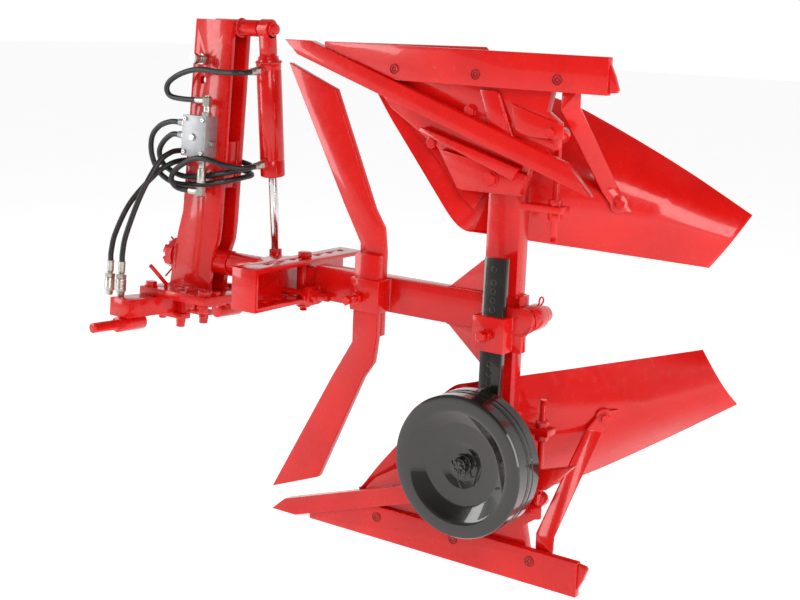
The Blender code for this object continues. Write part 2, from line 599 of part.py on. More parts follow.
def build_channel(parent, red):
    channel = solid("offset_channel", block((CHANNEL_FRONT, CHANNEL_NEAR, -CHANNEL_HALF),
                                            (CHANNEL_REAR, CHANNEL_FAR, CHANNEL_HALF)), red, parent)
    inner = CHANNEL_HALF - CHANNEL_WALL
    cut(channel, block((CHANNEL_FRONT + CHANNEL_WALL, CHANNEL_NEAR + CHANNEL_WALL, -inner),
                       (CHANNEL_REAR + CHANNEL_WALL, CHANNEL_FAR + CHANNEL_WALL, inner)))
    bolt_y = hole_y(PIVOT_HOLE)
    for index in range(HOLE_COUNT):
        cut(channel, bar("Z", (HOLE_X, hole_y(index), 0.0), -1.0, 1.0, HOLE_RADIUS))
    bolt = solid("pivot_bolt", bar("Z", (HOLE_X, bolt_y, 0.0), -CHANNEL_HALF - 0.020,
                                   CHANNEL_HALF + 0.004, HOLE_RADIUS - GAP), red, parent)
    add(bolt, bar("Z", (HOLE_X, bolt_y, 0.0), CHANNEL_HALF + GAP, CHANNEL_HALF + 0.014, PIVOT_BOLT_HEAD,
                  segments=6),
        bar("Z", (HOLE_X, bolt_y, 0.0), -CHANNEL_HALF - 0.015, -CHANNEL_HALF - GAP, PIVOT_BOLT_HEAD,
            segments=6))
    return bolt_y


def build_beam(parent, red, bolt_y):
    """The beam's tube, its front sleeve between the flanges, and a lug for the adjusting screw."""
    half_height = TUBE_HEIGHT / 2.0
    near = bolt_y - TUBE_WIDTH / 2.0
    far = bolt_y + TUBE_WIDTH / 2.0
    inner = CHANNEL_HALF - CHANNEL_WALL
    beam = solid("beam", block((BEAM_FRONT, near, -half_height), (LEG_FRONT - GAP, far, half_height)),
                 red, parent)
    cut(beam, block((BEAM_FRONT + TUBE_WALL, near + TUBE_WALL, -half_height + TUBE_WALL),
                    (LEG_FRONT + 0.1, far - TUBE_WALL, half_height - TUBE_WALL)))
    sleeve_half = inner - GAP
    add(beam, block((HOLE_X, bolt_y - 0.012, -0.030), (BEAM_FRONT + 0.004, bolt_y + 0.012, 0.030)),
        bar("Z", (HOLE_X, bolt_y, 0.0), -sleeve_half, sleeve_half, BEAM_SLEEVE_RADIUS),
        block((BEAM_FRONT, ADJUST_Y - 0.020, ADJUST_Z - 0.023),
              (BEAM_FRONT + ADJUST_LUG, near + 0.004, ADJUST_Z + 0.021)))
    cut(beam, bar("Z", (HOLE_X, bolt_y, 0.0), -1.0, 1.0, HOLE_RADIUS),
        bar("X", (0.0, ADJUST_Y, ADJUST_Z), BEAM_FRONT - 0.1, BEAM_FRONT + 0.1,
            ADJUST_RADIUS + GAP))
    screw = solid("adjusting_screw", bar("X", (0.0, ADJUST_Y, ADJUST_Z),
                                         CHANNEL_FRONT + CHANNEL_WALL + GAP, BEAM_FRONT + 0.050,
                                         ADJUST_RADIUS), red, parent)
    back = BEAM_FRONT + ADJUST_LUG + GAP
    add(screw, bar("X", (0.0, ADJUST_Y, ADJUST_Z), back, back + 0.016, 2.0 * ADJUST_RADIUS, segments=6),
        bar("X", (0.0, ADJUST_Y, ADJUST_Z), BEAM_FRONT - 0.014, BEAM_FRONT - GAP, 2.0 * ADJUST_RADIUS,
            segments=6))
    return near, far


def build_leg(parent, red, near, far):
    leg = solid("leg", block((LEG_FRONT, near, -LEG_END), (LEG_REAR, far, LEG_END)), red, parent)
    half_height = TUBE_HEIGHT / 2.0
    middle = (near + far) / 2.0
    for sign in (-1.0, 1.0):
        corner = [(GUSSET_FRONT, half_height + GAP), (LEG_FRONT + 0.002, half_height + GAP),
                  (LEG_FRONT + 0.002, GUSSET_RISE)]
        add(leg, plate(corner, middle - GUSSET_PLATE, middle + GUSSET_PLATE * 0.2, sign))
        low, high = sorted((sign * LUG_INNER, sign * LUG_OUTER))
        add(leg, block((LEG_REAR - 0.002, near, low), (LUG_REAR, far, high)))
        cut(leg, bar("Z", (PITCH_X, PITCH_Y, 0.0), low - 0.01, high + 0.01, PITCH_RADIUS + GAP))
    cut(leg, block((LEG_FRONT + TUBE_WALL, near + TUBE_WALL, -LEG_END - 0.01),
                   (LEG_REAR - TUBE_WALL, far - TUBE_WALL, LEG_END + 0.01)))
    sleeve = solid("arm_sleeve", bar("Y", (ARM_PIVOT_X, 0.0, 0.0), ARM_SLEEVE_NEAR, ARM_SLEEVE_FAR,
                                     ARM_SLEEVE_RADIUS), red, parent)
    add(sleeve, block((LEG_REAR + GAP, near, -ARM_SLEEVE_RADIUS * 1.6),
                      (LEG_REAR + 0.012, far, ARM_SLEEVE_RADIUS * 1.6)))
    cut(sleeve, bar("Y", (ARM_PIVOT_X, 0.0, 0.0), -1.0, 1.0, ARM_PIN_RADIUS + RUN))


# ---- knife coulters ----
def build_coulters(parent, red, beam_near):
    spacing = COULTER_THICK + 0.001
    upper_far = beam_near - 0.004
    lower_far = upper_far - spacing
    box_near = lower_far - COULTER_THICK - COULTER_CLAMP_WALL - GAP
    front = COULTER_FRONT - COULTER_CLAMP_WALL - GAP
    rear = COULTER_FRONT + COULTER_WIDTH + COULTER_CLAMP_WALL + GAP
    clamp = solid("coulter_clamp", block((front, box_near, -CLAMP_HALF), (rear, beam_near - GAP, CLAMP_HALF)),
                  red, parent)
    slot_near = lower_far - COULTER_THICK - GAP
    cut(clamp, block((COULTER_FRONT - GAP, slot_near, -1.0), (COULTER_FRONT + COULTER_WIDTH + GAP,
                                                              upper_far + GAP, 1.0)))
    add(clamp, bar("Y", (COULTER_FRONT + 0.018, 0.0, -0.008), box_near - 0.022, box_near + 0.002, 0.010,
                   segments=6))
    tail = 0.095
    for name, sign, far in (("coulter_lower", -1.0, lower_far), ("coulter_upper", 1.0, upper_far)):
        outline = [(COULTER_FRONT, -tail)] + COULTER_OUTLINE + [(COULTER_FRONT + COULTER_WIDTH, -tail)]
        solid(name, plate(outline, far - COULTER_THICK, far, sign), red, parent)


# ---- wheel ----
def build_wheel(frame, red, black):
    arm = empty("wheel_arm_swing", frame, (ARM_PIVOT_X, 0.0, 0.0))
    shift = STRUT_X - ARM_PIVOT_X
    half = STRUT_WIDTH / 2.0
    strut_near = STRUT_FAR - STRUT_THICK
    plate_near = STRUT_FAR + GAP
    plate_far = ARM_SLEEVE_NEAR - 0.002
    wall = ARM_BOX_WALL
    bracket = solid("wheel_bracket",
                    block((shift - half - wall, plate_near, ARM_BOX_BOTTOM),
                          (ARM_SLEEVE_RADIUS * 0.2, plate_far, ARM_BOX_TOP + 0.020)), red, arm)
    add(bracket, bar("Y", (0.0, 0.0, 0.0), plate_near, plate_far, ARM_SLEEVE_RADIUS),
        bar("Y", (0.0, 0.0, 0.0), plate_near, ARM_PIN_FAR, ARM_PIN_RADIUS),
        block((shift - half - wall, strut_near - GAP - wall, ARM_BOX_BOTTOM),
              (shift + half + wall, plate_near + 0.001, ARM_BOX_TOP)))
    cut(bracket, block((shift - half - GAP, strut_near - GAP, -1.0), (shift + half + GAP, plate_near, 1.0)),
        bar("Z", (0.0, ARM_SLEEVE_FAR + 0.016, 0.0), -1.0, 1.0, 0.003, segments=12))
    add(bracket, bar("Y", (shift, 0.0, (ARM_BOX_TOP + ARM_BOX_BOTTOM) / 2.0), strut_near - GAP - wall - 0.020,
                     strut_near - GAP - wall + 0.002, 0.010, segments=6))
    strut = solid("wheel_strut", block((shift - half, strut_near, WHEEL_Z),
                                       (shift + half, STRUT_FAR, STRUT_TOP)), black, arm)
    hub_centre = (shift, 0.0, WHEEL_Z)
    add(strut, bar("Y", hub_centre, strut_near, STRUT_FAR, half),
        bar("Y", hub_centre, WHEEL_NEAR + 0.012, strut_near + 0.004, WHEEL_BORE - RUN),
        bar("Y", hub_centre, WHEEL_FAR + 0.0015, strut_near + 0.002, WHEEL_BORE * 1.4))
    spin = empty("wheel_spin", arm, hub_centre)
    near, far = WHEEL_NEAR, WHEEL_FAR
    profile = [(WHEEL_BORE, near + 0.016), (0.052, near + 0.016), (0.056, near + 0.012), (0.080, near + 0.012),
               (0.112, near + 0.002), (0.140, near), (WHEEL_RADIUS, near + 0.004),
               (WHEEL_RADIUS, far - 0.004), (0.148, far), (0.144, far - 0.006), (0.144, near + 0.012),
               (0.114, near + 0.014), (0.082, near + 0.024), (0.034, near + 0.028), (0.034, far),
               (WHEEL_BORE, far)]
    solid("wheel", lathe(profile, (0.0, 0.0, 0.0)), black, spin)


# ---- plough bodies ----
def rail_point(points, along):
    """A point on the smooth curve through the chosen points, by the share of their count."""
    place = along * (len(points) - 1)
    index = min(int(place), len(points) - 2)
    t = place - index
    b, c = Vector(points[index]), Vector(points[index + 1])
    a = Vector(points[index - 1]) if index > 0 else 2.0 * b - c
    d = Vector(points[index + 2]) if index + 2 < len(points) else 2.0 * c - b
    return 0.5 * (2.0 * b + (c - a) * t + (2.0 * a - 5.0 * b + 4.0 * c - d) * t * t
                  + (3.0 * b - a - 3.0 * c + d) * t ** 3)


def surface_point(along, down):
    top = rail_point(TOP_RAIL, along)
    bottom = rail_point(BOTTOM_RAIL, along)
    chord = bottom - top
    back = Vector((0.60, -0.62, 0.50)).normalized()
    back -= back.project(chord)
    depth = MOLDBOARD_BULGE * math.sin(math.pi * down) * min(1.0, chord.length / 0.25)
    return top + chord * down + back.normalized() * depth


def surface_back(along, down):
    """The unit normal on the side away from the soil."""
    step = 0.002
    ahead = surface_point(min(1.0, along + step), down) - surface_point(max(0.0, along - step), down)
    lower = surface_point(along, min(1.0, down + step)) - surface_point(along, max(0.0, down - step))
    normal = ahead.cross(lower).normalized()
    if normal.dot(Vector((0.60, -0.62, 0.50))) < 0.0:
        normal.negate()
    return normal


def surface_patch(flip, along, down, offsets, columns, rows):
    """A closed sheet that follows the moldboard between two offsets behind its face."""
    shape = bmesh.new()
    sheets = []
    for offset in offsets:
        grid = []
        for i in range(columns + 1):
            a = along[0] + (along[1] - along[0]) * i / columns
            column = []
            for j in range(rows + 1):
                d = down[0] + (down[1] - down[0]) * j / rows
                point = surface_point(a, d) + surface_back(a, d) * offset
                column.append(shape.verts.new((point.x, point.y, flip * point.z)))
            grid.append(column)
        sheets.append(grid)
    front, back = sheets
    for grid in sheets:
        for i in range(columns):
            for j in range(rows):
                shape.faces.new((grid[i][j], grid[i + 1][j], grid[i + 1][j + 1]))
                shape.faces.new((grid[i][j], grid[i + 1][j + 1], grid[i][j + 1]))
    for i in range(columns):
        for j in (0, rows):
            shape.faces.new((front[i][j], front[i + 1][j], back[i + 1][j], back[i][j]))
    for j in range(rows):
        for i in (0, columns):
            shape.faces.new((front[i][j], front[i][j + 1], back[i][j + 1], back[i][j]))
    return shape


def share_slab(flip, offsets, spread=0.0):
    """The share's four-cornered sheet between two offsets behind its face."""
    edge = SHARE_WING - SHARE_POINT
    normal = edge.cross(SHARE_RISE).normalized()
    if normal.z < 0.0:
        normal.negate()
    lift = SHARE_RISE.normalized() * spread
    side = edge.normalized() * spread
    corners = [SHARE_POINT - side - lift, SHARE_WING + side - lift,
               SHARE_POINT + SHARE_RISE + edge * SHARE_TOP_RATIO + side + lift,
               SHARE_POINT + SHARE_RISE - side + lift]
    shape = bmesh.new()
    sheets = []
    for offset in offsets:
        sheets.append([shape.verts.new((p.x, p.y, flip * p.z)) for p in (c + normal * offset for c in corners)])
    front, back = sheets
    shape.faces.new(front)
    shape.faces.new(back)
    for i in range(4):
        k = (i + 1) % 4
        shape.faces.new((front[i], front[k], back[k], back[i]))
    return shape


def bar_edge(x):
    """Distance of the point bar's inner edge from the shaft's plane."""
    return BAR_START[1] - BAR_SLOPE * (x - BAR_START[0])


def build_point_bar(parent, red, name, flip):
    rise = BAR_HEIGHT * math.sqrt(1.0 + BAR_SLOPE ** 2)
    flat = BAR_START[0] + (BAR_START[1] + rise - AXIS_DROP) / BAR_SLOPE
    tip_top = BAR_TIP_X + 0.038
    heel = BAR_END_X - 0.060
    outline = [(BAR_TIP_X, AXIS_DROP), (flat, AXIS_DROP), (heel, bar_edge(heel) + rise),
               (BAR_END_X, bar_edge(BAR_END_X)), (tip_top, bar_edge(tip_top))]
    solid(f"point_bar_{name}", plate(outline, BAR_NEAR, FROG_NEAR - GAP, flip), red, parent)
    return rise


def build_landside(parent, red, name, flip, rise):
    upper = AXIS_DROP - LANDSIDE_HEIGHT
    meet = BAR_START[0] + (BAR_START[1] + rise + GAP - upper) / BAR_SLOPE
    outline = [(LANDSIDE_FRONT, AXIS_DROP), (LANDSIDE_REAR, AXIS_DROP), (LANDSIDE_REAR, upper),
               (meet, upper), (LANDSIDE_FRONT, bar_edge(LANDSIDE_FRONT) + rise + GAP)]
    solid(f"landside_{name}", plate(outline, LANDSIDE_NEAR, FROG_NEAR - GAP, flip), red, parent)


def beyond_ground(flip):
    """All that lies past the plane of the landside's sole."""
    low, high = sorted((flip * AXIS_DROP, flip * (AXIS_DROP + 0.1)))
    return block((0.0, -1.0, low), (2.0, 1.0, high))


def build_share(parent, red, name, flip):
    share = solid(f"share_{name}", share_slab(flip, (0.0, SHARE_THICK)), red, parent)
    cut(share, block((0.0, -1.0, -1.0), (2.0, FROG_NEAR, 1.0)), beyond_ground(flip))


def build_frog(parent, red, name, flip):
    frog = solid(f"frog_{name}", plate(FROG_OUTLINE, FROG_NEAR, FROG_FAR, flip), red, parent)
    back = MOLDBOARD_THICK + GAP
    add(frog, surface_patch(flip, (0.20, 0.46), (0.12, 0.86), (back, back + 0.010), 10, 6))
    share_back = SHARE_THICK + GAP
    keep = share_slab(flip, (share_back, share_back + 0.012), -0.012)
    add(frog, keep)
    cut(frog, surface_patch(flip, (0.0, 1.0), (0.0, 1.0), (-0.060, back + GAP), COLUMNS, ROWS),
        share_slab(flip, (-0.080, share_back), 0.030),
        block((0.0, -1.0, -1.0), (2.0, FROG_NEAR, 1.0)), beyond_ground(flip))
    cut(frog, bar("Y", (PITCH_X, 0.0, flip * PITCH_EYE), -1.0, 1.0, PITCH_RADIUS))


def build_pitch_screw(parent, red, name, flip):
    centre = (PITCH_X, PITCH_Y, 0.0)
    eye = (PITCH_X, 0.0, flip * PITCH_EYE)
    near = FROG_FAR + GAP
    screw = solid(f"pitch_screw_{name}", bar("Y", eye, near, 2.0 * PITCH_Y - near, 0.017), red, parent)
    low, high = sorted((flip * PITCH_TOP, flip * PITCH_EYE))
    add(screw, bar("Z", centre, low, high, PITCH_RADIUS))
    for inner, outer in ((LUG_INNER - 0.016, LUG_INNER - GAP), (LUG_OUTER + GAP, LUG_OUTER + 0.014)):
        low, high = sorted((flip * inner, flip * outer))
        add(screw, bar("Z", centre, low, high, 0.015, segments=6))


def build_brace(parent, red, name, flip):
    """A flat bar from the landside's inner face to the moldboard's back."""
    normal = surface_back(*BRACE_PLACE)
    pad = surface_point(*BRACE_PLACE) + normal * (MOLDBOARD_THICK + 3.0 * GAP + BRACE_THICK / 2.0)
    run = BRACE_FOOT - pad
    run = (run - run.project(normal)).normalized()
    bend = pad + run * BRACE_PAD
    knee = BRACE_FOOT - Vector((0.0, 0.0, BRACE_PAD))
    slope = (bend - knee).normalized()
    against = Vector((0.0, -1.0, 0.0))
    lean = (normal - normal.project(slope)).normalized()
    stations = [(BRACE_FOOT, against), (knee, (against + lean).normalized()),
                (bend, (lean + normal).normalized()), (pad - run * BRACE_HALF, normal)]
    shape = bmesh.new()
    rings = []
    for centre, out in stations:
        across = Vector((1.0, 0.0, 0.0))
        across = (across - across.project(out)).normalized() * BRACE_HALF
        thick = out * BRACE_THICK / 2.0
        corners = [centre + across + thick, centre - across + thick, centre - across - thick,
                   centre + across - thick]
        rings.append([shape.verts.new((p.x, p.y, flip * p.z)) for p in corners])
    for a, b in zip(rings, rings[1:]):
        for i in range(4):
            k = (i + 1) % 4
            shape.faces.new((a[i], a[k], b[k], b[i]))
    shape.faces.new(rings[0])
    shape.faces.new(rings[-1])
    solid(f"brace_{name}", shape, red, parent)


def build_body(parent, red, name, flip):
    rise = build_point_bar(parent, red, name, flip)
    build_landside(parent, red, name, flip, rise)
    build_share(parent, red, name, flip)
    board = surface_patch(flip, (0.0, 1.0), (0.0, 1.0), (0.0, MOLDBOARD_THICK), COLUMNS, ROWS)
    solid(f"moldboard_{name}", board, red, parent)
    build_frog(parent, red, name, flip)
    build_pitch_screw(parent, red, name, flip)
    build_brace(parent, red, name, flip)


# ---- assembly ----
def centre_on_ground(root):
    """Move the root so that the solids, without the hanging hoses, stand centred on the origin."""
    bpy.context.view_layer.update()
    depsgraph = bpy.context.evaluated_depsgraph_get()
    corners = []
    for obj in bpy.data.objects:
        if obj.type != 'MESH' or obj.hide_render or obj.name.startswith("coupler"):
            continue
        shape = obj.evaluated_get(depsgraph)
        corners += [shape.matrix_world @ vertex.co for vertex in shape.data.vertices]
    low = Vector([min(corner[i] for corner in corners) for i in range(3)])
    high = Vector([max(corner[i] for corner in corners) for i in range(3)])
    root.location -= Vector(((low.x + high.x) / 2.0, (low.y + high.y) / 2.0, low.z))
    bpy.context.view_layer.update()


def main():
    clear_scene()
    red = finish("red_paint", (0.78, 0.018, 0.012), 0.32)
    zinc = finish("zinc_steel", (0.62, 0.62, 0.60), 0.35, 1.0)
    chrome = finish("chrome_rod", (0.75, 0.75, 0.76), 0.12, 1.0)
    grey = finish("cast_aluminium", (0.52, 0.53, 0.54), 0.5, 0.7)
    black = finish("black_enamel", (0.012, 0.011, 0.010), 0.2)
    rubber = finish("black_rubber", (0.018, 0.018, 0.018), 0.6)

    root = empty("plough_root")
    headstock = empty("headstock_frame", root, turn=(-HEAD_ROLL, 0.0, 0.0))
    build_mast(headstock, red)
    build_cylinder_pin(headstock, red)
    build_base(headstock, red, zinc)
    build_valve(headstock, grey, zinc)
    build_hoses(headstock, rubber, zinc)
    build_cylinder(headstock, red, zinc, chrome)

    frame = empty("turnover", root)
    build_turning_head(frame, red)
    bolt_y = build_channel(frame, red)
    near, far = build_beam(frame, red, bolt_y)
    build_leg(frame, red, near, far)
    build_coulters(frame, red, near)
    for name, flip in (("lower", -1.0), ("upper", 1.0)):
        build_body(frame, red, name, flip)
    build_wheel(frame, red, black)
    centre_on_ground(root)


main()
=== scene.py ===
import json
import math

import bmesh
import bpy
from mathutils import Matrix, Vector

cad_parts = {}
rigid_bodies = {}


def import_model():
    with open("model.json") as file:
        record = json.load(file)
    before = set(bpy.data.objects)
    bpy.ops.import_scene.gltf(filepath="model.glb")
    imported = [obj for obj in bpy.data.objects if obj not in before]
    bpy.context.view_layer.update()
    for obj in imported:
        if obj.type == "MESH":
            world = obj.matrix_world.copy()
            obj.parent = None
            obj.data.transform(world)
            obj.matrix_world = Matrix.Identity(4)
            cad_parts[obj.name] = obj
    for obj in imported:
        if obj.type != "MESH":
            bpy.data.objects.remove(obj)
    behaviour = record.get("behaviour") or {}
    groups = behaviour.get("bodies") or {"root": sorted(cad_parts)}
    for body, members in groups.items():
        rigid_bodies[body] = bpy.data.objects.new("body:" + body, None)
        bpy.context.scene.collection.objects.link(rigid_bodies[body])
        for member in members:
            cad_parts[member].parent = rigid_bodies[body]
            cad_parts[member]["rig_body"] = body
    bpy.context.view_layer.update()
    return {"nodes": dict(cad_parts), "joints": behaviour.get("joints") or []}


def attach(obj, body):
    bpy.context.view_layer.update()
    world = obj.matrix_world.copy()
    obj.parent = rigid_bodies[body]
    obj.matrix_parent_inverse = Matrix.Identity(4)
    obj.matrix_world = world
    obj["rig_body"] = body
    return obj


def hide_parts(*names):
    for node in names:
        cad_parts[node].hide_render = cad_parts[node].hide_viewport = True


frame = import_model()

# ---- places taken from the frame ----
JOINTS = {joint["name"]: joint for joint in frame["joints"]}
AXIS = Vector(JOINTS["turnover"]["pos_m"])
HEAD_ROLL = math.radians(-3.0)
HEAD = Matrix.Translation(AXIS) @ Matrix.Rotation(HEAD_ROLL, 4, 'X')
PLOUGH = Matrix.Translation(AXIS)
PIVOT = Vector(JOINTS["cylinder_swing"]["pos_m"])
ROD_DOWN = Vector(JOINTS["rod_slide"]["axis"])
CYLINDER = Matrix.Translation(PIVOT) @ Matrix.Rotation(math.atan2(ROD_DOWN.y, -ROD_DOWN.z), 4, 'X')
ARM = Matrix.Translation(Vector(JOINTS["wheel_arm_swing"]["pos_m"]))
WHEEL = Matrix.Translation(Vector(JOINTS["wheel_spin"]["pos_m"]))
X, Y, Z = Vector((1, 0, 0)), Vector((0, 1, 0)), Vector((0, 0, 1))


# ---- finishes ----
class Value:
    """A shader socket that takes part in ordinary sums, one Math node to each."""

    def __init__(self, finish, socket):
        self.finish = finish
        self.socket = socket

    def math(self, operation, *others):
        return self.finish.node("ShaderNodeMath", {"operation": operation}, self, *others)

    def __add__(self, other):
        return self.math('ADD', other)

    def __sub__(self, other):
        return self.math('SUBTRACT', other)

    def __mul__(self, other):
        return self.math('MULTIPLY', other)

    __radd__ = __add__
    __rmul__ = __mul__

    def band(self, low, high):
        """0 below low, 1 above high, smooth between."""
        return self.finish.node("ShaderNodeMapRange", {"interpolation_type": 'SMOOTHSTEP', "clamp": True},
                                self, low, high, 0.0, 1.0)


class Finish:
    """A material with a Principled shader, and short names for the nodes it is made with."""

    def __init__(self, name, **constants):
        self.material = bpy.data.materials.new(name)
        self.material.use_nodes = True
        self.tree = self.material.node_tree
        self.shader = self.tree.nodes["Principled BSDF"]
        for socket, value in constants.items():
            self.shader.inputs[socket.replace("_", " ")].default_value = value
        self.place = Value(self, self.tree.nodes.new("ShaderNodeTexCoord").outputs["Object"])

    def node(self, kind, settings, *values, output=0, **named):
        node = self.tree.nodes.new(kind)
        for key, value in settings.items():
            if key == "stops":
                ramp = node.color_ramp
                while len(ramp.elements) < len(value):
                    ramp.elements.new(0.5)
                for element, (position, colour) in zip(ramp.elements, value):
                    element.position = position
                    element.color = (*colour, 1.0)
            else:
                setattr(node, key, value)
        pairs = list(zip(node.inputs, values)) + [(node.inputs[key.replace("_", " ")], value)
                                                  for key, value in named.items()]
        for socket, value in pairs:
            if isinstance(value, Value):
                self.tree.links.new(value.socket, socket)
            elif value is not None:
                socket.default_value = value
        return Value(self, node.outputs[output])

    def noise(self, scale, detail=3.0, roughness=0.5, stretch=None):
        place = self.place
        if stretch:
            place = self.node("ShaderNodeMapping", {}, place, Scale=stretch)
        return self.node("ShaderNodeTexNoise", {}, Vector=place, Scale=scale, Detail=detail,
                         Roughness=roughness)

    def cells(self, scale):
        return self.node("ShaderNodeTexVoronoi", {"feature": 'F1'}, Vector=self.place, Scale=scale,
                         Randomness=1.0)

    def blend(self, share, one, other):
        mix = self.node("ShaderNodeMix", {"data_type": 'RGBA'}, output=2)
        sockets = mix.socket.node.inputs
        for index, value in ((0, share), (6, one), (7, other)):
            if isinstance(value, Value):
                self.tree.links.new(value.socket, sockets[index])
            else:
                sockets[index].default_value = (*value, 1.0) if isinstance(value, tuple) else value
        return mix

    def bump(self, height, strength, distance):
        return self.node("ShaderNodeBump", {}, Strength=strength, Distance=distance, Height=height)

    def set(self, **links):
        for socket, value in links.items():
            self.tree.links.new(value.socket, self.shader.inputs[socket.replace("_", " ")])
        return self.material


def red_paint(name="red_paint", chips=0.0, roughness=0.20):
    """Sprayed gloss enamel over steel plate: faint orange peel, long waves, dust nibs and chips."""
    paint = Finish(name, Metallic=0.0, IOR=1.45, Coat_Weight=0.45, Coat_Roughness=0.05,
                   Specular_IOR_Level=0.30)
    peel = paint.noise(260.0, 2.0)
    waves = paint.noise(22.0, 4.0, 0.6)
    nibs = paint.cells(420.0).band(0.12, 0.02) * paint.noise(35.0).band(0.56, 0.66)
    colour = paint.blend(paint.noise(7.0, 5.0).band(0.30, 0.72), (0.600, 0.0030, 0.0020),
                         (0.700, 0.0060, 0.0035))
    colour = paint.blend(nibs * 0.35, colour, (0.42, 0.004, 0.003))
    rough = roughness + paint.noise(60.0, 4.0).band(0.35, 0.75) * 0.10 + waves.band(0.5, 0.8) * 0.05
    height = peel * 0.22 + waves * 0.7 + nibs * 0.5
    if chips:
        speck = paint.noise(120.0, 6.0, 0.7).band(0.60, 0.63)
        region = paint.noise(9.0, 3.0).band(0.62, 0.72)
        bare = speck * region * chips
        colour = paint.blend(bare, colour, (0.50, 0.13, 0.10))
        rough = rough + bare * 0.25
        height = height - bare * 0.8
    return paint.set(Base_Color=colour, Roughness=rough, Normal=paint.bump(height, 0.26, 0.0008))


def weld_red():
    weld = Finish("weld_red", Coat_Weight=0.6, Coat_Roughness=0.08)
    lumps = weld.noise(140.0, 4.0, 0.6)
    spatter = weld.cells(260.0).band(0.22, 0.05)
    colour = weld.blend(lumps.band(0.3, 0.7), (0.52, 0.004, 0.003), (0.70, 0.007, 0.005))
    return weld.set(Base_Color=colour, Roughness=0.30 + lumps * 0.12,
                    Normal=weld.bump(lumps + spatter * 0.6, 0.6, 0.0014))


def groove_shade_red():
    """Painted shade: a dark ring standing in for the shadow in the groove round a countersunk screw."""
    shade_ring = Finish("groove_shade_red", Roughness=0.6)
    shade_noise = shade_ring.noise(300.0, 3.0)
    # Two near-black reds of painted shade, varied at random.
    colour = shade_ring.blend(shade_noise.band(0.3, 0.7), (0.060, 0.0016, 0.0012), (0.130, 0.0026, 0.0020))
    return shade_ring.set(Base_Color=colour, Normal=shade_ring.bump(shade_noise, 0.3, 0.0004))


def black_enamel():
    black = Finish("black_enamel", Coat_Weight=0.9, Coat_Roughness=0.03, Specular_IOR_Level=0.3)
    peel = black.noise(230.0, 2.0)
    waves = black.noise(30.0, 4.0)
    dust = black.noise(500.0, 3.0, 0.7).band(0.64, 0.74) * black.noise(12.0).band(0.45, 0.7)
    colour = black.blend(dust * 0.5, (0.0090, 0.0078, 0.0062), (0.080, 0.074, 0.064))
    return black.set(Base_Color=colour, Roughness=0.22 + dust * 0.3 + waves.band(0.45, 0.7) * 0.08,
                     Normal=black.bump(peel * 0.3 + waves, 0.25, 0.0010))


def zinc():
    plated = Finish("zinc_steel", Metallic=1.0)
    grain = plated.noise(180.0, 4.0, 0.6)
    stain = plated.noise(26.0, 4.0)
    colour = plated.blend(stain.band(0.35, 0.75), (0.62, 0.61, 0.57), (0.45, 0.43, 0.38))
    return plated.set(Base_Color=colour, Roughness=0.24 + grain * 0.18 + stain.band(0.5, 0.8) * 0.12,
                      Normal=plated.bump(grain, 0.15, 0.0004))


def chrome():
    polished = Finish("chrome_rod", Metallic=1.0)
    turning = polished.noise(60.0, 3.0, 0.5, (1.0, 1.0, 24.0))
    film = polished.noise(18.0, 4.0).band(0.45, 0.75)
    colour = polished.blend(film, (0.78, 0.78, 0.79), (0.60, 0.59, 0.57))
    return polished.set(Base_Color=colour, Roughness=0.07 + film * 0.12 + turning * 0.05,
                        Normal=polished.bump(turning, 0.06, 0.0003))


def aluminium():
    block = Finish("cast_aluminium", Metallic=0.75)
    brushed = block.noise(90.0, 4.0, 0.6, (1.0, 1.0, 12.0))
    blotch = block.noise(30.0, 4.0)
    colour = block.blend(blotch.band(0.3, 0.75), (0.44, 0.45, 0.46), (0.31, 0.32, 0.33))
    return block.set(Base_Color=colour, Roughness=0.40 + brushed * 0.16,
                     Normal=block.bump(brushed + blotch * 0.4, 0.22, 0.0004))


def rubber():
    """Smooth hose cover with a fine grain from its cloth wrap, and scuffs."""
    cover = Finish("black_rubber", Specular_IOR_Level=0.5)
    wrap = cover.noise(700.0)
    scuffs = cover.noise(45.0, 5.0, 0.7).band(0.52, 0.72)
    colour = cover.blend(scuffs, (0.0105, 0.0105, 0.0110), (0.034, 0.033, 0.032))
    return cover.set(Base_Color=colour, Roughness=0.36 + scuffs * 0.22 + wrap * 0.08,
                     Normal=cover.bump(wrap + scuffs * 0.3, 0.25, 0.0004))


def dark_steel():
    steel = Finish("dark_steel", Metallic=0.85)
    grain = steel.noise(200.0, 4.0)
    colour = steel.blend(grain.band(0.35, 0.7), (0.05, 0.045, 0.04), (0.14, 0.12, 0.10))
    return steel.set(Base_Color=colour, Roughness=0.42 + grain * 0.2, Normal=steel.bump(grain, 0.2, 0.0005))


RED = red_paint()
CHIPPED = red_paint("red_paint_chipped", 1.0, 0.22)
WELD = weld_red()
BLACK = black_enamel()
ZINC = zinc()
CHROME = chrome()
ALUMINIUM = aluminium()
RUBBER = rubber()
STEEL = dark_steel()
# Dark red painted shade for the grooves round the landside screws.
GROOVE_SHADE = groove_shade_red()


# ---- shape tools ----
def place(name, shape, material, body, replaced=(), smooth=34.0, space=None):
    """Make the finished mesh a piece of the body, with its place in its vertices."""
    if space is not None:
        bmesh.ops.transform(shape, matrix=space, verts=shape.verts)
    bmesh.ops.recalc_face_normals(shape, faces=shape.faces)
    mesh = bpy.data.meshes.new(name)
    shape.to_mesh(mesh)
    shape.free()
    mesh.materials.append(material)
    mesh.shade_smooth()
    mesh.set_sharp_from_angle(angle=math.radians(smooth))
    piece = bpy.data.objects.new(name, mesh)
    bpy.context.scene.collection.objects.link(piece)
    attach(piece, body)
    if replaced:
        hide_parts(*replaced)
    return piece


def soften(shape, width, angle=30.0, segments=2):
    """Round every edge sharper than the angle."""
    sharp = [edge for edge in shape.edges if edge.is_manifold and
             edge.calc_face_angle(0.0) > math.radians(angle) and edge.calc_length() > 0.0005]
    bmesh.ops.bevel(shape, geom=sharp, offset=width, segments=segments, affect='EDGES', profile=0.5,
                    material=-1, clamp_overlap=True)


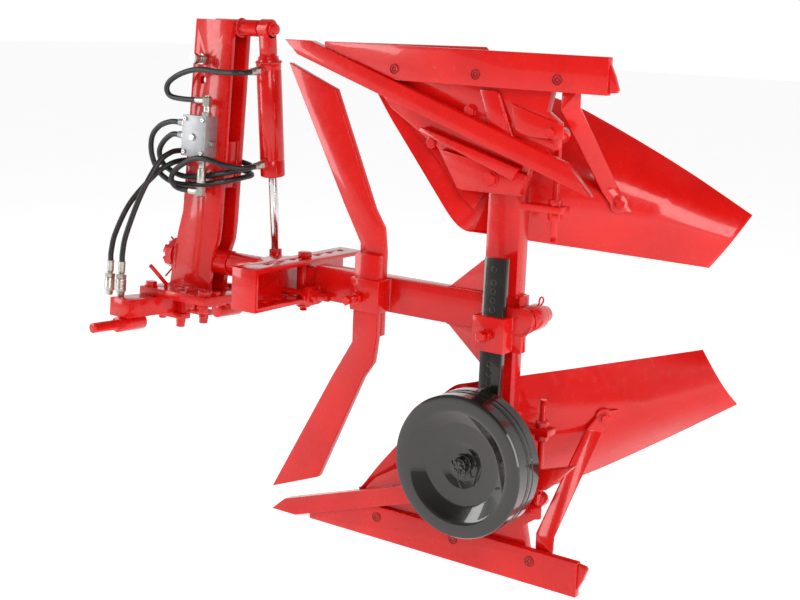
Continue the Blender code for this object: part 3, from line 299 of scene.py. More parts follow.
def refine(node, width=0.0012, material=RED, smooth=40.0):
    """A CAD node's own shape with its edges rounded."""
    source = frame["nodes"][node]
    shape = bmesh.new()
    shape.from_mesh(source.data)
    bmesh.ops.remove_doubles(shape, verts=shape.verts, dist=0.00002)
    bmesh.ops.dissolve_limit(shape, angle_limit=math.radians(0.6), verts=shape.verts, edges=shape.edges)
    soften(shape, width)
    return place(f"{node}_finished", shape, material, source["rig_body"], (node,), smooth)


def turn_to(direction):
    return direction.to_track_quat('Z', 'Y').to_matrix().to_4x4()


def rod(shape, start, direction, length, radius, segments=32, edge=0.0006):
    """Add a round or many-sided bar with softened ends to the mesh."""
    direction = Vector(direction).normalized()
    made = bmesh.ops.create_cone(shape, cap_ends=True, segments=segments, radius1=radius,
                                 radius2=radius, depth=length,
                                 matrix=Matrix.Translation(Vector(start) + direction * length / 2.0)
                                 @ turn_to(direction))
    if edge:
        faces = {face for vert in made["verts"] for face in vert.link_faces}
        rims = {e for face in faces for e in face.edges if len(face.verts) > 4 or segments <= 8
                if e.calc_face_angle(0.0) > 0.5}
        bmesh.ops.bevel(shape, geom=list(rims), offset=edge, segments=2, affect='EDGES', profile=0.5,
                        material=-1)
    return shape


def box(shape, low, high, edge=0.001):
    low, high = Vector(low), Vector(high)
    made = bmesh.ops.create_cube(shape, size=1.0)
    bmesh.ops.scale(shape, vec=high - low, verts=made["verts"])
    bmesh.ops.translate(shape, vec=(low + high) / 2.0, verts=made["verts"])
    edges = list({e for vert in made["verts"] for e in vert.link_edges})
    if edge:
        bmesh.ops.bevel(shape, geom=edges, offset=edge, segments=2, affect='EDGES', profile=0.5, material=-1)
    return shape


def spun(shape, profile, origin, direction, segments=48):
    """Turn a closed (radius, along) profile about a line."""
    matrix = Matrix.Translation(Vector(origin)) @ turn_to(Vector(direction).normalized())
    ring = [shape.verts.new((radius, 0.0, along)) for radius, along in profile]
    edges = [shape.edges.new((a, b)) for a, b in zip(ring, ring[1:] + ring[:1])]
    before = set(shape.verts) - set(ring)
    bmesh.ops.spin(shape, geom=ring + edges, cent=(0.0, 0.0, 0.0), axis=(0.0, 0.0, 1.0),
                   angle=2.0 * math.pi, steps=segments, use_merge=True)
    made = [vert for vert in shape.verts if vert not in before]
    bmesh.ops.remove_doubles(shape, verts=made, dist=0.00002)
    made = [vert for vert in shape.verts if vert not in before]
    bmesh.ops.transform(shape, matrix=matrix, verts=made)
    return shape


def hexagon(shape, centre, direction, across, thick, bore=0.0):
    """A hexagon nut or head with chamfered corners."""
    direction = Vector(direction).normalized()
    made = bmesh.ops.create_cone(shape, cap_ends=True, segments=6, radius1=across / math.sqrt(3.0),
                                 radius2=across / math.sqrt(3.0), depth=thick,
                                 matrix=Matrix.Translation(Vector(centre) + direction * thick / 2.0)
                                 @ turn_to(direction))
    corners = [v for v in made["verts"] if (v.co - Vector(centre)).dot(direction) > thick * 0.5]
    edges = {e for v in made["verts"] for e in v.link_edges}
    rims = [e for e in edges if all(v in corners for v in e.verts)]
    bmesh.ops.bevel(shape, geom=rims, offset=thick * 0.13, segments=1, affect='EDGES', profile=0.5,
                    material=-1)
    if bore:
        rod(shape, Vector(centre) + direction * (thick * 0.98), direction, thick * 0.10, bore, segments=20,
            edge=0.0)
    return shape


def thread(shape, start, direction, length, radius, pitch=0.0018):
    """A threaded end: a stack of shallow ridges turned as one profile."""
    turns = max(2, int(length / pitch))
    profile = [(0.0004, 0.0)]
    for index in range(turns):
        along = length * index / turns
        profile.append((radius * 0.90, along))
        profile.append((radius, along + length / turns * 0.5))
    profile += [(radius * 0.86, length), (0.0004, length)]
    return spun(shape, profile, start, direction, 24)


def bolt(shape, seat, direction, size, head=0.65, washer=True):
    """A hexagon head, on a washer unless told otherwise."""
    seat, direction = Vector(seat), Vector(direction).normalized()
    lift = 0.0
    if washer:
        lift = size * 0.16
        rod(shape, seat, direction, lift, size * 1.08, segments=28, edge=0.0003)
    hexagon(shape, seat + direction * lift, direction, size * 1.6, size * head)
    return shape


def weld(shape, points, radius=0.0034, phase=0.0):
    """A fillet bead: overlapping scales along a line."""
    points = [Vector(point) for point in points]
    for start, end in zip(points, points[1:]):
        run = end - start
        count = max(2, int(run.length / (radius * 0.95)))
        turn = turn_to(run.normalized())
        for index in range(count + 1):
            swell = 1.0 + 0.10 * math.sin(index * 2.4 + phase)
            matrix = Matrix.Translation(start + run * (index / count)) @ turn @ Matrix.Diagonal(
                (radius * swell, radius * swell, radius * 0.9, 1.0))
            bmesh.ops.create_icosphere(shape, subdivisions=2, radius=1.0, matrix=matrix)
    return shape


def ring_points(centre, direction, radius, start=0.0, sweep=360.0, count=24):
    frame_turn = turn_to(Vector(direction).normalized())
    result = []
    for index in range(count + 1):
        angle = math.radians(start + sweep * index / count)
        result.append(Vector(centre) + frame_turn @ Vector((radius * math.cos(angle),
                                                            radius * math.sin(angle), 0.0)))
    return result


def smooth_route(points, step):
    """Points at an even step along a smooth curve through the chosen points."""
    chosen = [Vector(point) for point in points]
    chosen = [2.0 * chosen[0] - chosen[1]] + chosen + [2.0 * chosen[-1] - chosen[-2]]
    fine = []
    for i in range(1, len(chosen) - 2):
        a, b, c, d = chosen[i - 1:i + 3]
        for k in range(16):
            t = k / 16.0
            fine.append(0.5 * (2.0 * b + (c - a) * t + (2.0 * a - 5.0 * b + 4.0 * c - d) * t * t
                               + (3.0 * b - a - 3.0 * c + d) * t ** 3))
    fine.append(chosen[-2])
    lengths = [0.0]
    for a, b in zip(fine, fine[1:]):
        lengths.append(lengths[-1] + (b - a).length)
    count = max(2, round(lengths[-1] / step))
    route = []
    index = 0
    for k in range(count + 1):
        wanted = lengths[-1] * k / count
        while index < len(fine) - 2 and lengths[index + 1] < wanted:
            index += 1
        share = (wanted - lengths[index]) / (lengths[index + 1] - lengths[index])
        route.append(fine[index].lerp(fine[index + 1], share))
    return route, lengths[-1]


def wire(name, points, radius, material, body, step=0.004, space=None, replaced=()):
    """A round wire, pin or hose along a smooth route."""
    route, length = smooth_route(points, step)
    curve = bpy.data.curves.new(name, 'CURVE')
    curve.dimensions = '3D'
    curve.bevel_depth = radius
    curve.bevel_resolution = 5
    curve.use_fill_caps = True
    spline = curve.splines.new('POLY')
    spline.points.add(len(route) - 1)
    for target, point in zip(spline.points, route):
        target.co = (*(space @ point if space else point), 1.0)
    spline.use_smooth = True
    curve.materials.append(material)
    piece = bpy.data.objects.new(name, curve)
    bpy.context.scene.collection.objects.link(piece)
    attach(piece, body)
    if replaced:
        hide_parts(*replaced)
    return piece, length


# ---- camera ----
def set_camera():
    azimuth, elevation, roll = math.radians(35.0), math.radians(9.1), math.radians(2.3)
    ahead = Vector((-math.sin(azimuth) * math.cos(elevation), math.cos(azimuth) * math.cos(elevation),
                    -math.sin(elevation)))
    right = Vector((math.cos(azimuth), math.sin(azimuth), 0.0))
    up = right.cross(ahead)
    tilted = right * math.cos(roll) + up * math.sin(roll)
    up = up * math.cos(roll) - right * math.sin(roll)
    data = bpy.data.cameras.new("camera")
    data.lens = 63.3
    data.sensor_width = 36.0
    data.shift_x = 0.0128
    data.shift_y = -0.077
    camera = bpy.data.objects.new("camera", data)
    bpy.context.scene.collection.objects.link(camera)
    turn = Matrix((tilted, up, -ahead)).transposed().to_4x4()
    camera.matrix_world = Matrix.Translation(AXIS + Vector((2.3765, -2.6345, 0.6398))) @ turn
    bpy.context.scene.camera = camera


set_camera()

# ---- hoses ----
HOSE_RADIUS = 0.007
GAP = 0.0003
PORT_END = 0.031 + 0.008 + 0.032 + 4.0 * GAP
UPPER_PORT, LOWER_PORT = 0.098, 0.331
FITTING_Y = -0.066
TOP_FITTING = (-0.003, 0.404)
LOW_FITTING = (-0.010, 0.177)
FITTING_REACH = 0.036
SUPPLY = {"a": 0.345, "b": 0.314}
SUPPLY_X = -0.0923
HOSE_UPPER_POINTS = [(0.106, -0.0905, 0.479), (0.078, -0.091, 0.477), (0.030, -0.078, 0.478),
                     (-0.040, -0.067, 0.480), (-0.095, -0.066, 0.467), (-0.132, -0.068, 0.446),
                     (-0.142, -0.068, 0.426), (-0.130, -0.067, 0.409), (-0.095, -0.066, 0.404)]
HOSE_LOWER_POINTS = [(0.108, -0.062, 0.247), (0.090, -0.077, 0.250), (0.062, -0.090, 0.256),
                     (0.032, -0.097, 0.263), (-0.004, -0.098, 0.262), (-0.040, -0.096, 0.248),
                     (-0.076, -0.091, 0.226), (-0.096, -0.083, 0.203), (-0.093, -0.073, 0.185),
                     (-0.076, -0.067, 0.178)]
SUPPLY_A_POINTS = [(-0.124, -0.066, 0.344), (-0.162, -0.066, 0.330), (-0.187, -0.066, 0.300),
                   (-0.184, -0.066, 0.255), (-0.158, -0.062, 0.212), (-0.114, -0.054, 0.190),
                   (-0.060, -0.0455, 0.190), (-0.010, -0.0445, 0.197), (0.030, -0.0445, 0.205),
                   (0.060, -0.043, 0.212), (0.070, 0.000, 0.220), (0.060, 0.043, 0.226),
                   (0.010, 0.0475, 0.236), (-0.055, 0.0480, 0.246), (-0.099, 0.042, 0.250),
                   (-0.111, 0.012, 0.248), (-0.109, -0.040, 0.246), (-0.114, -0.075, 0.236),
                   (-0.138, -0.102, 0.206), (-0.168, -0.150, 0.136), (-0.182, -0.182, 0.060)]
SUPPLY_B_POINTS = [(-0.118, -0.066, 0.312), (-0.146, -0.067, 0.290), (-0.157, -0.067, 0.262),
                   (-0.141, -0.063, 0.232), (-0.100, -0.053, 0.212), (-0.060, -0.0455, 0.210),
                   (-0.010, -0.0445, 0.218), (0.030, -0.0445, 0.226), (0.060, -0.043, 0.233),
                   (0.070, 0.000, 0.240), (0.060, 0.043, 0.246), (0.010, 0.0475, 0.256),
                   (-0.055, 0.0480, 0.266), (-0.098, 0.043, 0.271), (-0.110, 0.012, 0.272),
                   (-0.110, -0.040, 0.272), (-0.112, -0.075, 0.266), (-0.117, -0.110, 0.240),
                   (-0.132, -0.150, 0.160), (-0.144, -0.182, 0.062)]
COUPLER_TOPS = {"a": Vector((-0.186, -0.190, -0.010)), "b": Vector((-0.146, -0.190, -0.008))}
LEAD = 0.022
ROUTE_STEP = 0.006


def coupler(name):
    """A quick coupler: crimped ferrule, hexagon, knurled sleeve and nose."""
    x, y, z = COUPLER_TOPS[name]
    shape = bmesh.new()
    profile = [(0.0004, 0.0), (0.0088, 0.0), (0.0090, 0.003)]
    for index in range(4):
        profile += [(0.0084, 0.006 + 0.006 * index), (0.0090, 0.009 + 0.006 * index)]
    profile += [(0.0066, 0.030), (0.0066, 0.033), (0.0004, 0.033)]
    spun(shape, profile, (x, y, z), -Z, 40)
    hexagon(shape, (x, y, z - 0.033), -Z, 0.0225, 0.010)
    body = [(0.0004, 0.043), (0.0118, 0.043), (0.0122, 0.046)]
    for index in range(7):
        body += [(0.0134, 0.048 + 0.0032 * index), (0.0128, 0.0496 + 0.0032 * index)]
    body += [(0.0134, 0.072), (0.0130, 0.0745), (0.0098, 0.0765), (0.0098, 0.082), (0.0086, 0.0868),
             (0.0058, 0.0868), (0.0052, 0.080), (0.0004, 0.080)]
    spun(shape, body, (x, y, z), -Z, 40)
    return place(f"coupler_{name}_finished", shape, ZINC, "headstock", (f"coupler_{name}",), space=HEAD)


def build_hoses():
    lean = HEAD.inverted() @ CYLINDER
    for name, depth, points, (x, z) in (("hose_upper", UPPER_PORT, HOSE_UPPER_POINTS, TOP_FITTING),
                                        ("hose_lower", LOWER_PORT, HOSE_LOWER_POINTS, LOW_FITTING)):
        start = [lean @ Vector((0.0, -PORT_END - beyond, -depth)) for beyond in (0.0, LEAD)]
        route = start + points + [Vector((x - FITTING_REACH - GAP, FITTING_Y, z))]
        piece, length = wire(f"{name}_finished", route, HOSE_RADIUS, RUBBER, "headstock", ROUTE_STEP,
                             HEAD, (name,))
        HEAD @ route[0]
    for name, points in (("a", SUPPLY_A_POINTS), ("b", SUPPLY_B_POINTS)):
        x, y, z = COUPLER_TOPS[name]
        route = [Vector((SUPPLY_X, FITTING_Y, SUPPLY[name]))] + points + [Vector((x, y, z + LEAD)),
                                                                         Vector((x, y, z + GAP))]
        piece, length = wire(f"supply_hose_{name}_finished", route, HOSE_RADIUS, RUBBER, "headstock",
                             ROUTE_STEP, HEAD, (f"supply_hose_{name}",))
        end = coupler(name)
        HEAD @ route[0]


build_hoses()


# ---- headstock ----
def ferrule(shape, start, direction, length=0.026):
    """A crimped hose end with its hexagon."""
    profile = [(0.0004, 0.0), (0.0086, 0.0), (0.0089, 0.002)]
    steps = 4
    for index in range(steps):
        profile += [(0.0083, 0.004 + (length - 0.010) * index / steps),
                    (0.0089, 0.006 + (length - 0.010) * index / steps)]
    profile += [(0.0086, length - 0.002), (0.0060, length), (0.0004, length)]
    spun(shape, profile, start, direction, 36)


def build_valve():
    refine("valve_block", 0.0016, ALUMINIUM)
    shape = bmesh.new()
    low, high = Vector((-0.070, -0.080, 0.264)), Vector((0.008, -0.0363, 0.366))
    for x, z in ((-0.060, 0.274), (-0.002, 0.274), (-0.060, 0.356), (-0.002, 0.356)):
        spun(shape, [(0.0004, 0.0), (0.0052, 0.0), (0.0052, 0.0035), (0.0044, 0.0042), (0.0026, 0.0042),
                     (0.0026, 0.0012), (0.0004, 0.0012)], (x, low.y, z), -Y, 24)
    hexagon(shape, (-0.034, low.y, 0.312), -Y, 0.016, 0.005, 0.003)
    rod(shape, (high.x, -0.058, 0.298), X, 0.005, 0.008)
    hexagon(shape, (high.x + 0.004, -0.058, 0.298), X, 0.013, 0.006)
    place("valve_screws", shape, ZINC, "headstock", space=HEAD)
    shape = bmesh.new()
    x, z = TOP_FITTING
    hexagon(shape, (x, FITTING_Y, high.z), Z, 0.0215, 0.010)
    rod(shape, (x, FITTING_Y, high.z + 0.009), Z, 0.016, 0.0088)
    hexagon(shape, (x, FITTING_Y, z - 0.013), Z, 0.021, 0.024)
    rod(shape, (x, FITTING_Y, z + 0.010), Z, 0.0035, 0.0070)
    rod(shape, (x - 0.006, FITTING_Y, z), -X, 0.006, 0.0070)
    ferrule(shape, (x - FITTING_REACH, FITTING_Y, z), X)
    place("valve_fitting_top_finished", shape, ZINC, "headstock", ("valve_fitting_top",), space=HEAD)
    shape = bmesh.new()
    x, z = LOW_FITTING
    hexagon(shape, (x, FITTING_Y, low.z), -Z, 0.0215, 0.012)
    rod(shape, (x, FITTING_Y, low.z - 0.010), -Z, 0.020, 0.0086)
    rod(shape, (x, FITTING_Y, low.z - 0.028), -Z, 0.036, 0.0112)
    hexagon(shape, (x, FITTING_Y, z + 0.013), -Z, 0.021, 0.0245)
    rod(shape, (x - 0.006, FITTING_Y, z), -X, 0.006, 0.0070)
    ferrule(shape, (x - FITTING_REACH, FITTING_Y, z), X)
    place("valve_fitting_bottom_finished", shape, ZINC, "headstock", ("valve_fitting_bottom",), space=HEAD)
    shape = bmesh.new()
    for z in SUPPLY.values():
        ferrule(shape, (SUPPLY_X + GAP, FITTING_Y, z), X, 0.018)
        hexagon(shape, (SUPPLY_X + 0.0165, FITTING_Y, z), X, 0.0185, 0.006)
    place("supply_ferrules", shape, ZINC, "headstock", space=HEAD)


def build_headstock():
    for node in ("mast_plate_near", "mast_plate_far"):
        refine(node, 0.0016, CHIPPED)
    refine("mast_spacer", 0.0016)
    refine("pivot_tube", 0.0010, smooth=50.0)
    refine("turnover_bearing", 0.0010, smooth=50.0)
    refine("base_plate", 0.0018, CHIPPED)
    refine("lower_link_bar", 0.0030, CHIPPED)
    refine("top_link_pin", 0.0010, ZINC, smooth=50.0)
    refine("cylinder_pin", 0.0010, smooth=50.0)
    refine("lock_pin", 0.0006, smooth=60.0)
    for side in ("near", "far"):
        refine(f"link_pin_{side}", 0.0010, CHIPPED, smooth=50.0)
        refine(f"bar_clamp_{side}", 0.0012)
    shape = bmesh.new()
    for x in (-0.132, 0.048):
        for y in (-0.098, 0.098):
            bolt(shape, (x, y, -0.075), Z, 0.016)
    for x, y in ((-0.020, -0.075), (-0.020, 0.075), (0.050, -0.058), (0.050, 0.058)):
        bolt(shape, (x, y, -0.075), Z, 0.014, washer=False)
    for x, y in ((0.048, -0.098), (0.048, 0.098), (-0.020, -0.075), (-0.020, 0.075)):
        rod(shape, (x, y, -0.0955), -Z, 0.010, 0.015)
        hexagon(shape, (x, y, -0.105), -Z, 0.024, 0.013)
        thread(shape, (x, y, -0.118), -Z, 0.010, 0.0075)
    for y in (-0.043, 0.043):
        hexagon(shape, (-0.0755, y, -0.1545), -Z, 0.022, 0.012)
        hexagon(shape, (-0.140, y, -0.1545), -Z, 0.018, 0.009)
    place("headstock_bolts", shape, RED, "headstock", space=HEAD)
    shape = bmesh.new()
    for side in (-1.0, 1.0):
        face = side * 0.0365
        weld(shape, [(-0.126, face, -0.0738), (0.005, face, -0.0738)], 0.0042)
        weld(shape, [(-0.112, face, 0.030), (-0.112, side * 0.034, -0.030)], 0.0034)
        inner = side * 0.0205
        weld(shape, [(0.0270, inner, 0.191), (0.0290, inner, 0.305)], 0.0036)
        weld(shape, [(-0.0870, inner, 0.191), (-0.0850, inner, 0.305)], 0.0036)
        weld(shape, [(-0.1500, side * 0.100, -0.0955), (-0.1500, side * 0.030, -0.0955)], 0.0036)
    weld(shape, ring_points((0.0375, 0.0, 0.590), X, 0.0215, 180.0, 360.0), 0.0030)
    weld(shape, ring_points((-0.1235, 0.0, 0.0), X, 0.0325, 0.0, 360.0), 0.0030)
    place("headstock_welds", shape, WELD, "headstock", space=HEAD, smooth=80.0)
    shape = bmesh.new()
    for y in (-0.058, 0.052):
        spun(shape, [(0.0096, 0.0), (0.0125, 0.0), (0.0125, 0.0016), (0.0096, 0.0016)],
             (-0.048, y, 0.506), Y, 32)
    place("top_link_rings", shape, ZINC, "headstock", space=HEAD)


build_headstock()
build_valve()


# ---- cylinder ----
def build_cylinder():
    shape = bmesh.new()
    bottom, top = -0.366, -0.070
    spun(shape, [(0.0125, bottom), (0.0290, bottom), (0.0308, bottom + 0.002), (0.0308, bottom + 0.040),
                 (0.0300, bottom + 0.041), (0.0300, bottom + 0.043), (0.0309, bottom + 0.0445),
                 (0.0309, top - 0.030), (0.0301, top - 0.029), (0.0301, top - 0.027), (0.0309, top - 0.026),
                 (0.0309, top - 0.012), (0.0255, top - 0.002), (0.0180, top + 0.010), (0.0125, top + 0.010)],
         (0.0, 0.0, 0.0), Z, 64)
    half = 0.015
    box(shape, (-half, -0.0175, top - 0.004), (half, 0.0175, -0.012), 0.003)
    spun(shape, [(0.0130, -half), (0.0225, -half), (0.0240, -half + 0.0015), (0.0240, half - 0.0015),
                 (0.0225, half), (0.0130, half)], (0.0, 0.0, 0.0), X, 48)
    for depth in (UPPER_PORT, LOWER_PORT):
        rod(shape, (0.0, -0.028, -depth), -Y, 0.011, 0.0112)
    place("cylinder_barrel_finished", shape, RED, "cylinder", ("cylinder_barrel",), 40.0, CYLINDER)
    shape = bmesh.new()
    weld(shape, ring_points((0.0, 0.0, top - 0.011), Z, 0.0300), 0.0030)
    for side in (-1.0, 1.0):
        weld(shape, [(side * half, -0.017, top + 0.001), (side * half, 0.017, top + 0.001)], 0.0034)
    for depth in (UPPER_PORT, LOWER_PORT):
        weld(shape, ring_points((0.0, -0.0318, -depth), Y, 0.0116), 0.0018)
    place("cylinder_welds", shape, WELD, "cylinder", (), 80.0, CYLINDER)
    shape = bmesh.new()
    spun(shape, [(0.0116, bottom - 0.003), (0.0150, bottom - 0.0035), (0.0185, bottom - 0.0004),
                 (0.0185, bottom + 0.002), (0.0116, bottom + 0.002)], (0.0, 0.0, 0.0), Z, 48)
    place("wiper_seal", shape, RUBBER, "cylinder", (), 40.0, CYLINDER)
    for name, depth in (("port_fitting_upper", UPPER_PORT), ("port_fitting_lower", LOWER_PORT)):
        shape = bmesh.new()
        hexagon(shape, (0.0, -0.0393, -depth), -Y, 0.0185, 0.007)
        rod(shape, (0.0, -0.0455, -depth), -Y, 0.004, 0.0070)
        hexagon(shape, (0.0, -0.0485, -depth), -Y, 0.0180, 0.006)
        ferrule(shape, (0.0, -0.0710, -depth), Y, 0.020)
        place(f"{name}_finished", shape, ZINC, "cylinder", (name,), space=CYLINDER)
    length = (AXIS + Vector((0.120, 0.088, 0.0)) - PIVOT).length
    shape = bmesh.new()
    rod(shape, (0.0, 0.0, -length + 0.0363), Z, 0.213, 0.0115, segments=48)
    place("cylinder_rod_finished", shape, CHROME, "rod", ("cylinder_rod",), space=CYLINDER)
    refine("rod_eye", 0.0012, RED, smooth=50.0)
    shape = bmesh.new()
    weld(shape, ring_points((0.0, 0.0, -length + 0.0345), Z, 0.0128), 0.0022)
    place("rod_eye_weld", shape, WELD, "rod", (), 80.0, CYLINDER)


build_cylinder()


# ---- turning head, channel, beam and leg ----
HALF_TUBE = 0.040
BEAM_NEAR, BEAM_FAR = -0.034, 0.006
LEG_FRONT, LEG_REAR = 0.813, 0.893


def build_nut_and_pin():
    """The castle nut on the turning shaft's front end, with its split pin."""
    shape = bmesh.new()
    hexagon(shape, (-0.130, 0.0, 0.0), -X, 0.073, 0.020)
    rod(shape, (-0.1255, 0.0, 0.0), -X, 0.005, 0.040, segments=40)
    for index in range(6):
        turn = Matrix.Rotation(math.radians(60.0 * index), 4, 'X')
        tooth = bmesh.new()
        box(tooth, (-0.160, -0.011, 0.025), (-0.148, 0.011, 0.034), 0.0015)
        bmesh.ops.transform(tooth, matrix=turn, verts=tooth.verts)
        mesh = bpy.data.meshes.new("tooth")
        tooth.to_mesh(mesh)
        tooth.free()
        shape.from_mesh(mesh)
        bpy.data.meshes.remove(mesh)
    place("shaft_nut_finished", shape, RED, "plough", ("shaft_nut",), space=PLOUGH)
    wire("shaft_split_pin", [(-0.154, -0.008, 0.044), (-0.154, 0.0, 0.030), (-0.154, 0.0, -0.030),
                             (-0.156, -0.010, -0.046), (-0.158, -0.024, -0.058)], 0.0024, RED, "plough",
         space=PLOUGH)


def build_frame():
    for node in ("turning_head", "beam", "coulter_clamp", "wheel_bracket"):
        refine(node, 0.0018)
    for node in ("offset_channel", "leg"):
        refine(node, 0.0018, CHIPPED)
    for node in ("turnover_shaft", "arm_sleeve", "pivot_bolt", "adjusting_screw"):
        refine(node, 0.0010, smooth=50.0)
    for node in ("coulter_upper", "coulter_lower"):
        refine(node, 0.0016, CHIPPED)
    build_nut_and_pin()
    shape = bmesh.new()
    thread(shape, (0.380, -0.054, -0.029), X, 0.022, 0.0088)
    thread(shape, (0.507, -0.105, -0.008), -Y, 0.014, 0.0088)
    hexagon(shape, (0.507, -0.119, -0.008), -Y, 0.020, 0.012)
    hexagon(shape, (0.507, -0.0875, -0.008), -Y, 0.026, 0.008)
    hexagon(shape, (0.294, -0.014, -0.0665), -Z, 0.030, 0.004)
    thread(shape, (0.294, -0.014, -0.066), -Z, 0.014, 0.0088)
    place("frame_threads", shape, RED, "plough", space=PLOUGH)
    shape = bmesh.new()
    weld(shape, ring_points((0.2555, 0.0, 0.0), X, 0.0315), 0.0036)
    for z in (-0.0335, 0.0335):
        weld(shape, [(0.165, -0.032, z * 0.98), (0.256, -0.104, z * 0.98)], 0.0030)
        weld(shape, [(0.2565, -0.100, z), (0.2565, 0.100, z)], 0.0036)
    for side in (BEAM_NEAR, BEAM_FAR):
        weld(shape, [(LEG_FRONT, side, -HALF_TUBE), (LEG_FRONT, side, HALF_TUBE)], 0.0036)
    for flip in (-1.0, 1.0):
        weld(shape, [(0.718, -0.0265, flip * 0.0405), (0.808, -0.0265, flip * 0.0405)], 0.0036)
        weld(shape, [(0.7265, -0.014, flip * 0.0405), (0.808, -0.014, flip * 0.0405)], 0.0026)
        weld(shape, [(LEG_REAR, BEAM_NEAR + 0.002, flip * 0.235), (LEG_REAR, BEAM_FAR - 0.002, flip * 0.235)],
             0.0032)
    weld(shape, [(0.345, BEAM_NEAR, -0.034), (0.357, BEAM_NEAR, -0.034), (0.357, BEAM_NEAR, -0.010)], 0.0030)
    weld(shape, [(0.346, BEAM_NEAR + 0.006, -0.036), (0.346, BEAM_NEAR + 0.006, 0.036)], 0.0026)
    for x in (0.482, 0.563):
        weld(shape, [(x, BEAM_NEAR - 0.001, -0.036), (x, BEAM_NEAR - 0.001, 0.036)], 0.0034)
    for z in (-0.044, 0.044):
        weld(shape, [(0.895, BEAM_NEAR, z), (0.895, BEAM_FAR, z)], 0.0030)
    place("frame_welds", shape, WELD, "plough", space=PLOUGH, smooth=80.0)


build_frame()


# ---- plough bodies ----
TOP_RAIL = [(0.510, -0.048, 0.470), (0.562, -0.048, 0.400), (0.640, -0.048, 0.308),
            (0.738, -0.046, 0.190), (0.782, -0.004, 0.170), (0.869, 0.076, 0.154),
            (0.992, 0.204, 0.131), (1.160, 0.374, 0.099)]
BOTTOM_RAIL = [(0.507, -0.048, 0.4735), (0.620, 0.085, 0.4735), (0.722, 0.210, 0.4735),
               (0.850, 0.220, 0.452), (0.946, 0.258, 0.407), (1.083, 0.343, 0.320),
               (1.233, 0.422, 0.218)]
BACKWARD = Vector((0.60, -0.62, 0.50))


def rail_point(points, along):
    """A point on the smooth curve through the chosen points, by the share of their count."""
    at = along * (len(points) - 1)
    index = min(int(at), len(points) - 2)
    t = at - index
    b, c = Vector(points[index]), Vector(points[index + 1])
    a = Vector(points[index - 1]) if index > 0 else 2.0 * b - c
    d = Vector(points[index + 2]) if index + 2 < len(points) else 2.0 * c - b
    return 0.5 * (2.0 * b + (c - a) * t + (2.0 * a - 5.0 * b + 4.0 * c - d) * t * t
                  + (3.0 * b - a - 3.0 * c + d) * t ** 3)


def board_point(along, down):
    """The moldboard's face: a bulged sheet between its top and bottom edges."""
    top, bottom = rail_point(TOP_RAIL, along), rail_point(BOTTOM_RAIL, along)
    chord = bottom - top
    back = BACKWARD.normalized()
    back -= back.project(chord)
    depth = 0.050 * math.sin(math.pi * down) * min(1.0, chord.length / 0.25)
    return top + chord * down + back.normalized() * depth


def board_back(along, down):
    step = 0.002
    ahead = board_point(min(1.0, along + step), down) - board_point(max(0.0, along - step), down)
    lower = board_point(along, min(1.0, down + step)) - board_point(along, max(0.0, down - step))
    normal = ahead.cross(lower).normalized()
    return normal if normal.dot(BACKWARD) > 0.0 else -normal


def mirrored(point, flip):
    return Vector((point.x, point.y, flip * point.z))


def build_moldboard(name, flip):
    """A smooth pressed sheet with rounded edges, from one grid bent to the two edges."""
    columns, rows, thick = 120, 44, 0.006
    shape = bmesh.new()
    bmesh.ops.create_grid(shape, x_segments=columns, y_segments=rows, size=0.5)
    for vert in shape.verts:
        along, down = min(max(vert.co.x + 0.5, 0.0), 1.0), min(max(vert.co.y + 0.5, 0.0), 1.0)
        point = board_point(along, down) + board_back(along, down) * thick / 2.0
        vert.co = mirrored(point, flip)
    middle = shape.faces[:][len(shape.faces) // 2]
    middle.normal_update()
    outward = mirrored(board_back(0.5, 0.5), flip)
    if middle.normal.dot(outward) < 0.0:
        bmesh.ops.reverse_faces(shape, faces=shape.faces)
    centre = [vert.co.copy() for vert in shape.verts]
    shape.normal_update()
    normals = [vert.normal.copy() for vert in shape.verts]
    bmesh.ops.solidify(shape, geom=shape.faces[:], thickness=thick)
    count = len(centre)
    shape.verts.ensure_lookup_table()
    for index, vert in enumerate(shape.verts):
        side = 1.0 if index < count else -1.0
        vert.co = centre[index % count] + normals[index % count] * side * thick / 2.0
    soften(shape, 0.0016, 60.0)
    place(f"moldboard_{name}_finished", shape, RED, "plough", (f"moldboard_{name}",), 50.0, PLOUGH)


def slab(shape, outline, near, far, flip, edge=0.0012):
    """A flat plate with softened edges between two Y values, from an X-Z outline."""
    corners = [shape.verts.new((x, near, flip * z)) for x, z in outline]
    face = shape.faces.new(corners)
    pushed = bmesh.ops.extrude_face_region(shape, geom=[face])
    moved = [item for item in pushed["geom"] if isinstance(item, bmesh.types.BMVert)]
    bmesh.ops.translate(shape, vec=(0.0, far - near, 0.0), verts=moved)
    edges = list({e for v in corners + moved for e in v.link_edges})
    bmesh.ops.bevel(shape, geom=edges, offset=edge, segments=2, affect='EDGES', profile=0.5, material=-1)
    return shape


def socket_screw(shape, centre, direction, radius):
    """A countersunk socket screw, flush in its plate: a rim, a shallow head and its hexagon socket."""
    spun(shape, [(0.0004, 0.0), (radius * 0.42, 0.0), (radius * 0.46, 0.0009), (radius * 0.80, 0.0013),
                 (radius * 0.86, 0.0004), (radius * 0.92, 0.0004), (radius, 0.0012), (radius * 1.08, 0.0006),
                 (radius * 1.10, -0.0015), (0.0004, -0.0015)], centre, direction, 32)
    hexagon(shape, Vector(centre) + Vector(direction) * -0.0010, direction, radius * 0.62, 0.0016)


LANDSIDE_SCREWS = (0.578, 0.789, 0.986)
LANDSIDE_FACE = -0.0742
LANDSIDE_MIDDLE = 0.518


